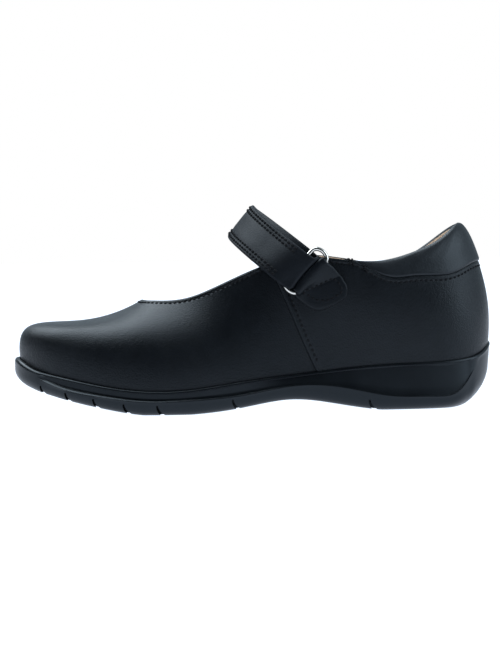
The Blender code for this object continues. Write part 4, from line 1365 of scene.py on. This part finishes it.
# Floor, light and camera
floor_mesh = bpy.data.meshes.new("floor")
floor_corners = [(-3.0, -0.6), (3.0, -0.6), (3.0, 3.0), (-3.0, 3.0)]
floor_mesh.from_pydata([(x, y, -0.0002) for x, y in floor_corners], [], [(0, 1, 2, 3)])
floor_work = Surface("pale_floor", (0.12, 0.12, 0.12), 0.9, Specular_IOR_Level=0.1, Emission_Strength=1.0,
                     Emission_Color=(1.02, 1.12, 1.28, 1.0))
floor_work.bump(floor_work.noise(3.0, 3.0), 0.02, 0.3)
floor_mesh.materials.append(floor_work.material)
floor = put("floor", floor_mesh)

FRONT_LIGHT = 0.05
BACK_LIGHT = 0.6
BACK_SIDE = (0.9, 1.0, 0.0)
STUDIO_TINT = (0.70, 0.87, 1.0, 1.0)
WHITE = (1.0, 1.0, 1.0, 1.0)
world = bpy.data.worlds.new("studio")
bpy.context.scene.world = world
world.use_nodes = True
sky = Nodes(world.node_tree)
around = sky.node("TexCoord").outputs["Generated"]
backward = sky.node("VectorMath", {0: around, 1: BACK_SIDE}, operation="DOT_PRODUCT").outputs["Value"]
strength = sky.ramp(backward, -0.25, 0.7, FRONT_LIGHT, BACK_LIGHT, interpolation_type="SMOOTHSTEP")
studio = sky.node("Background", {"Color": STUDIO_TINT, "Strength": strength})
backdrop = sky.tree.nodes["Background"]
backdrop.inputs["Color"].default_value = WHITE
backdrop.inputs["Strength"].default_value = 1.0
pick = sky.node("MixShader", {"Fac": sky.node("LightPath").outputs["Is Camera Ray"],
                              1: studio.outputs["Background"], 2: backdrop.outputs["Background"]})
sky.feed(sky.tree.nodes["World Output"].inputs["Surface"], pick.outputs["Shader"])

sun = bpy.data.lights.new("soft_dome", "SUN")
sun.energy = 4.8
sun.angle = math.radians(60.0)
sun.color = (0.84, 0.93, 1.0)
put("soft_dome", sun).rotation_euler = (math.radians(-14.0), math.radians(-27.0), 0.0)

side_light = bpy.data.lights.new("side_panel", "AREA")
side_light.shape = "RECTANGLE"
side_light.size = 0.9
side_light.size_y = 1.15
side_light.energy = 11.0
side_light.color = (0.80, 0.91, 1.0)
side_object = put("side_panel", side_light)
side_object.location = (1.1, -0.42, 0.62)
side_object.rotation_mode = "QUATERNION"
side_object.rotation_quaternion = (-Vector(side_object.location)).to_track_quat("-Z", "Y")

CAMERA_PLACE = (-0.6, -900.0, 82.0)
CAMERA_PITCH = math.atan2(105.1, 2073.6)
CAMERA_ROLL = 0.01396
FOCAL_PIXELS = 2082.0
PICTURE_WIDTH = 500.0
SENSOR = 36.0
camera_data = bpy.data.cameras.new("camera")
camera_data.sensor_fit = "HORIZONTAL"
camera_data.sensor_width = SENSOR
camera_data.lens = SENSOR * FOCAL_PIXELS / PICTURE_WIDTH
camera = put("camera", camera_data)
camera.location = [part * MM for part in CAMERA_PLACE]
camera.rotation_mode = "QUATERNION"
look = Vector((0.0, math.cos(CAMERA_PITCH), -math.sin(CAMERA_PITCH)))
camera.rotation_quaternion = Quaternion(look, CAMERA_ROLL) @ look.to_track_quat("-Z", "Y")
bpy.context.scene.camera = camera
bpy.context.scene.view_settings.view_transform = "Standard"
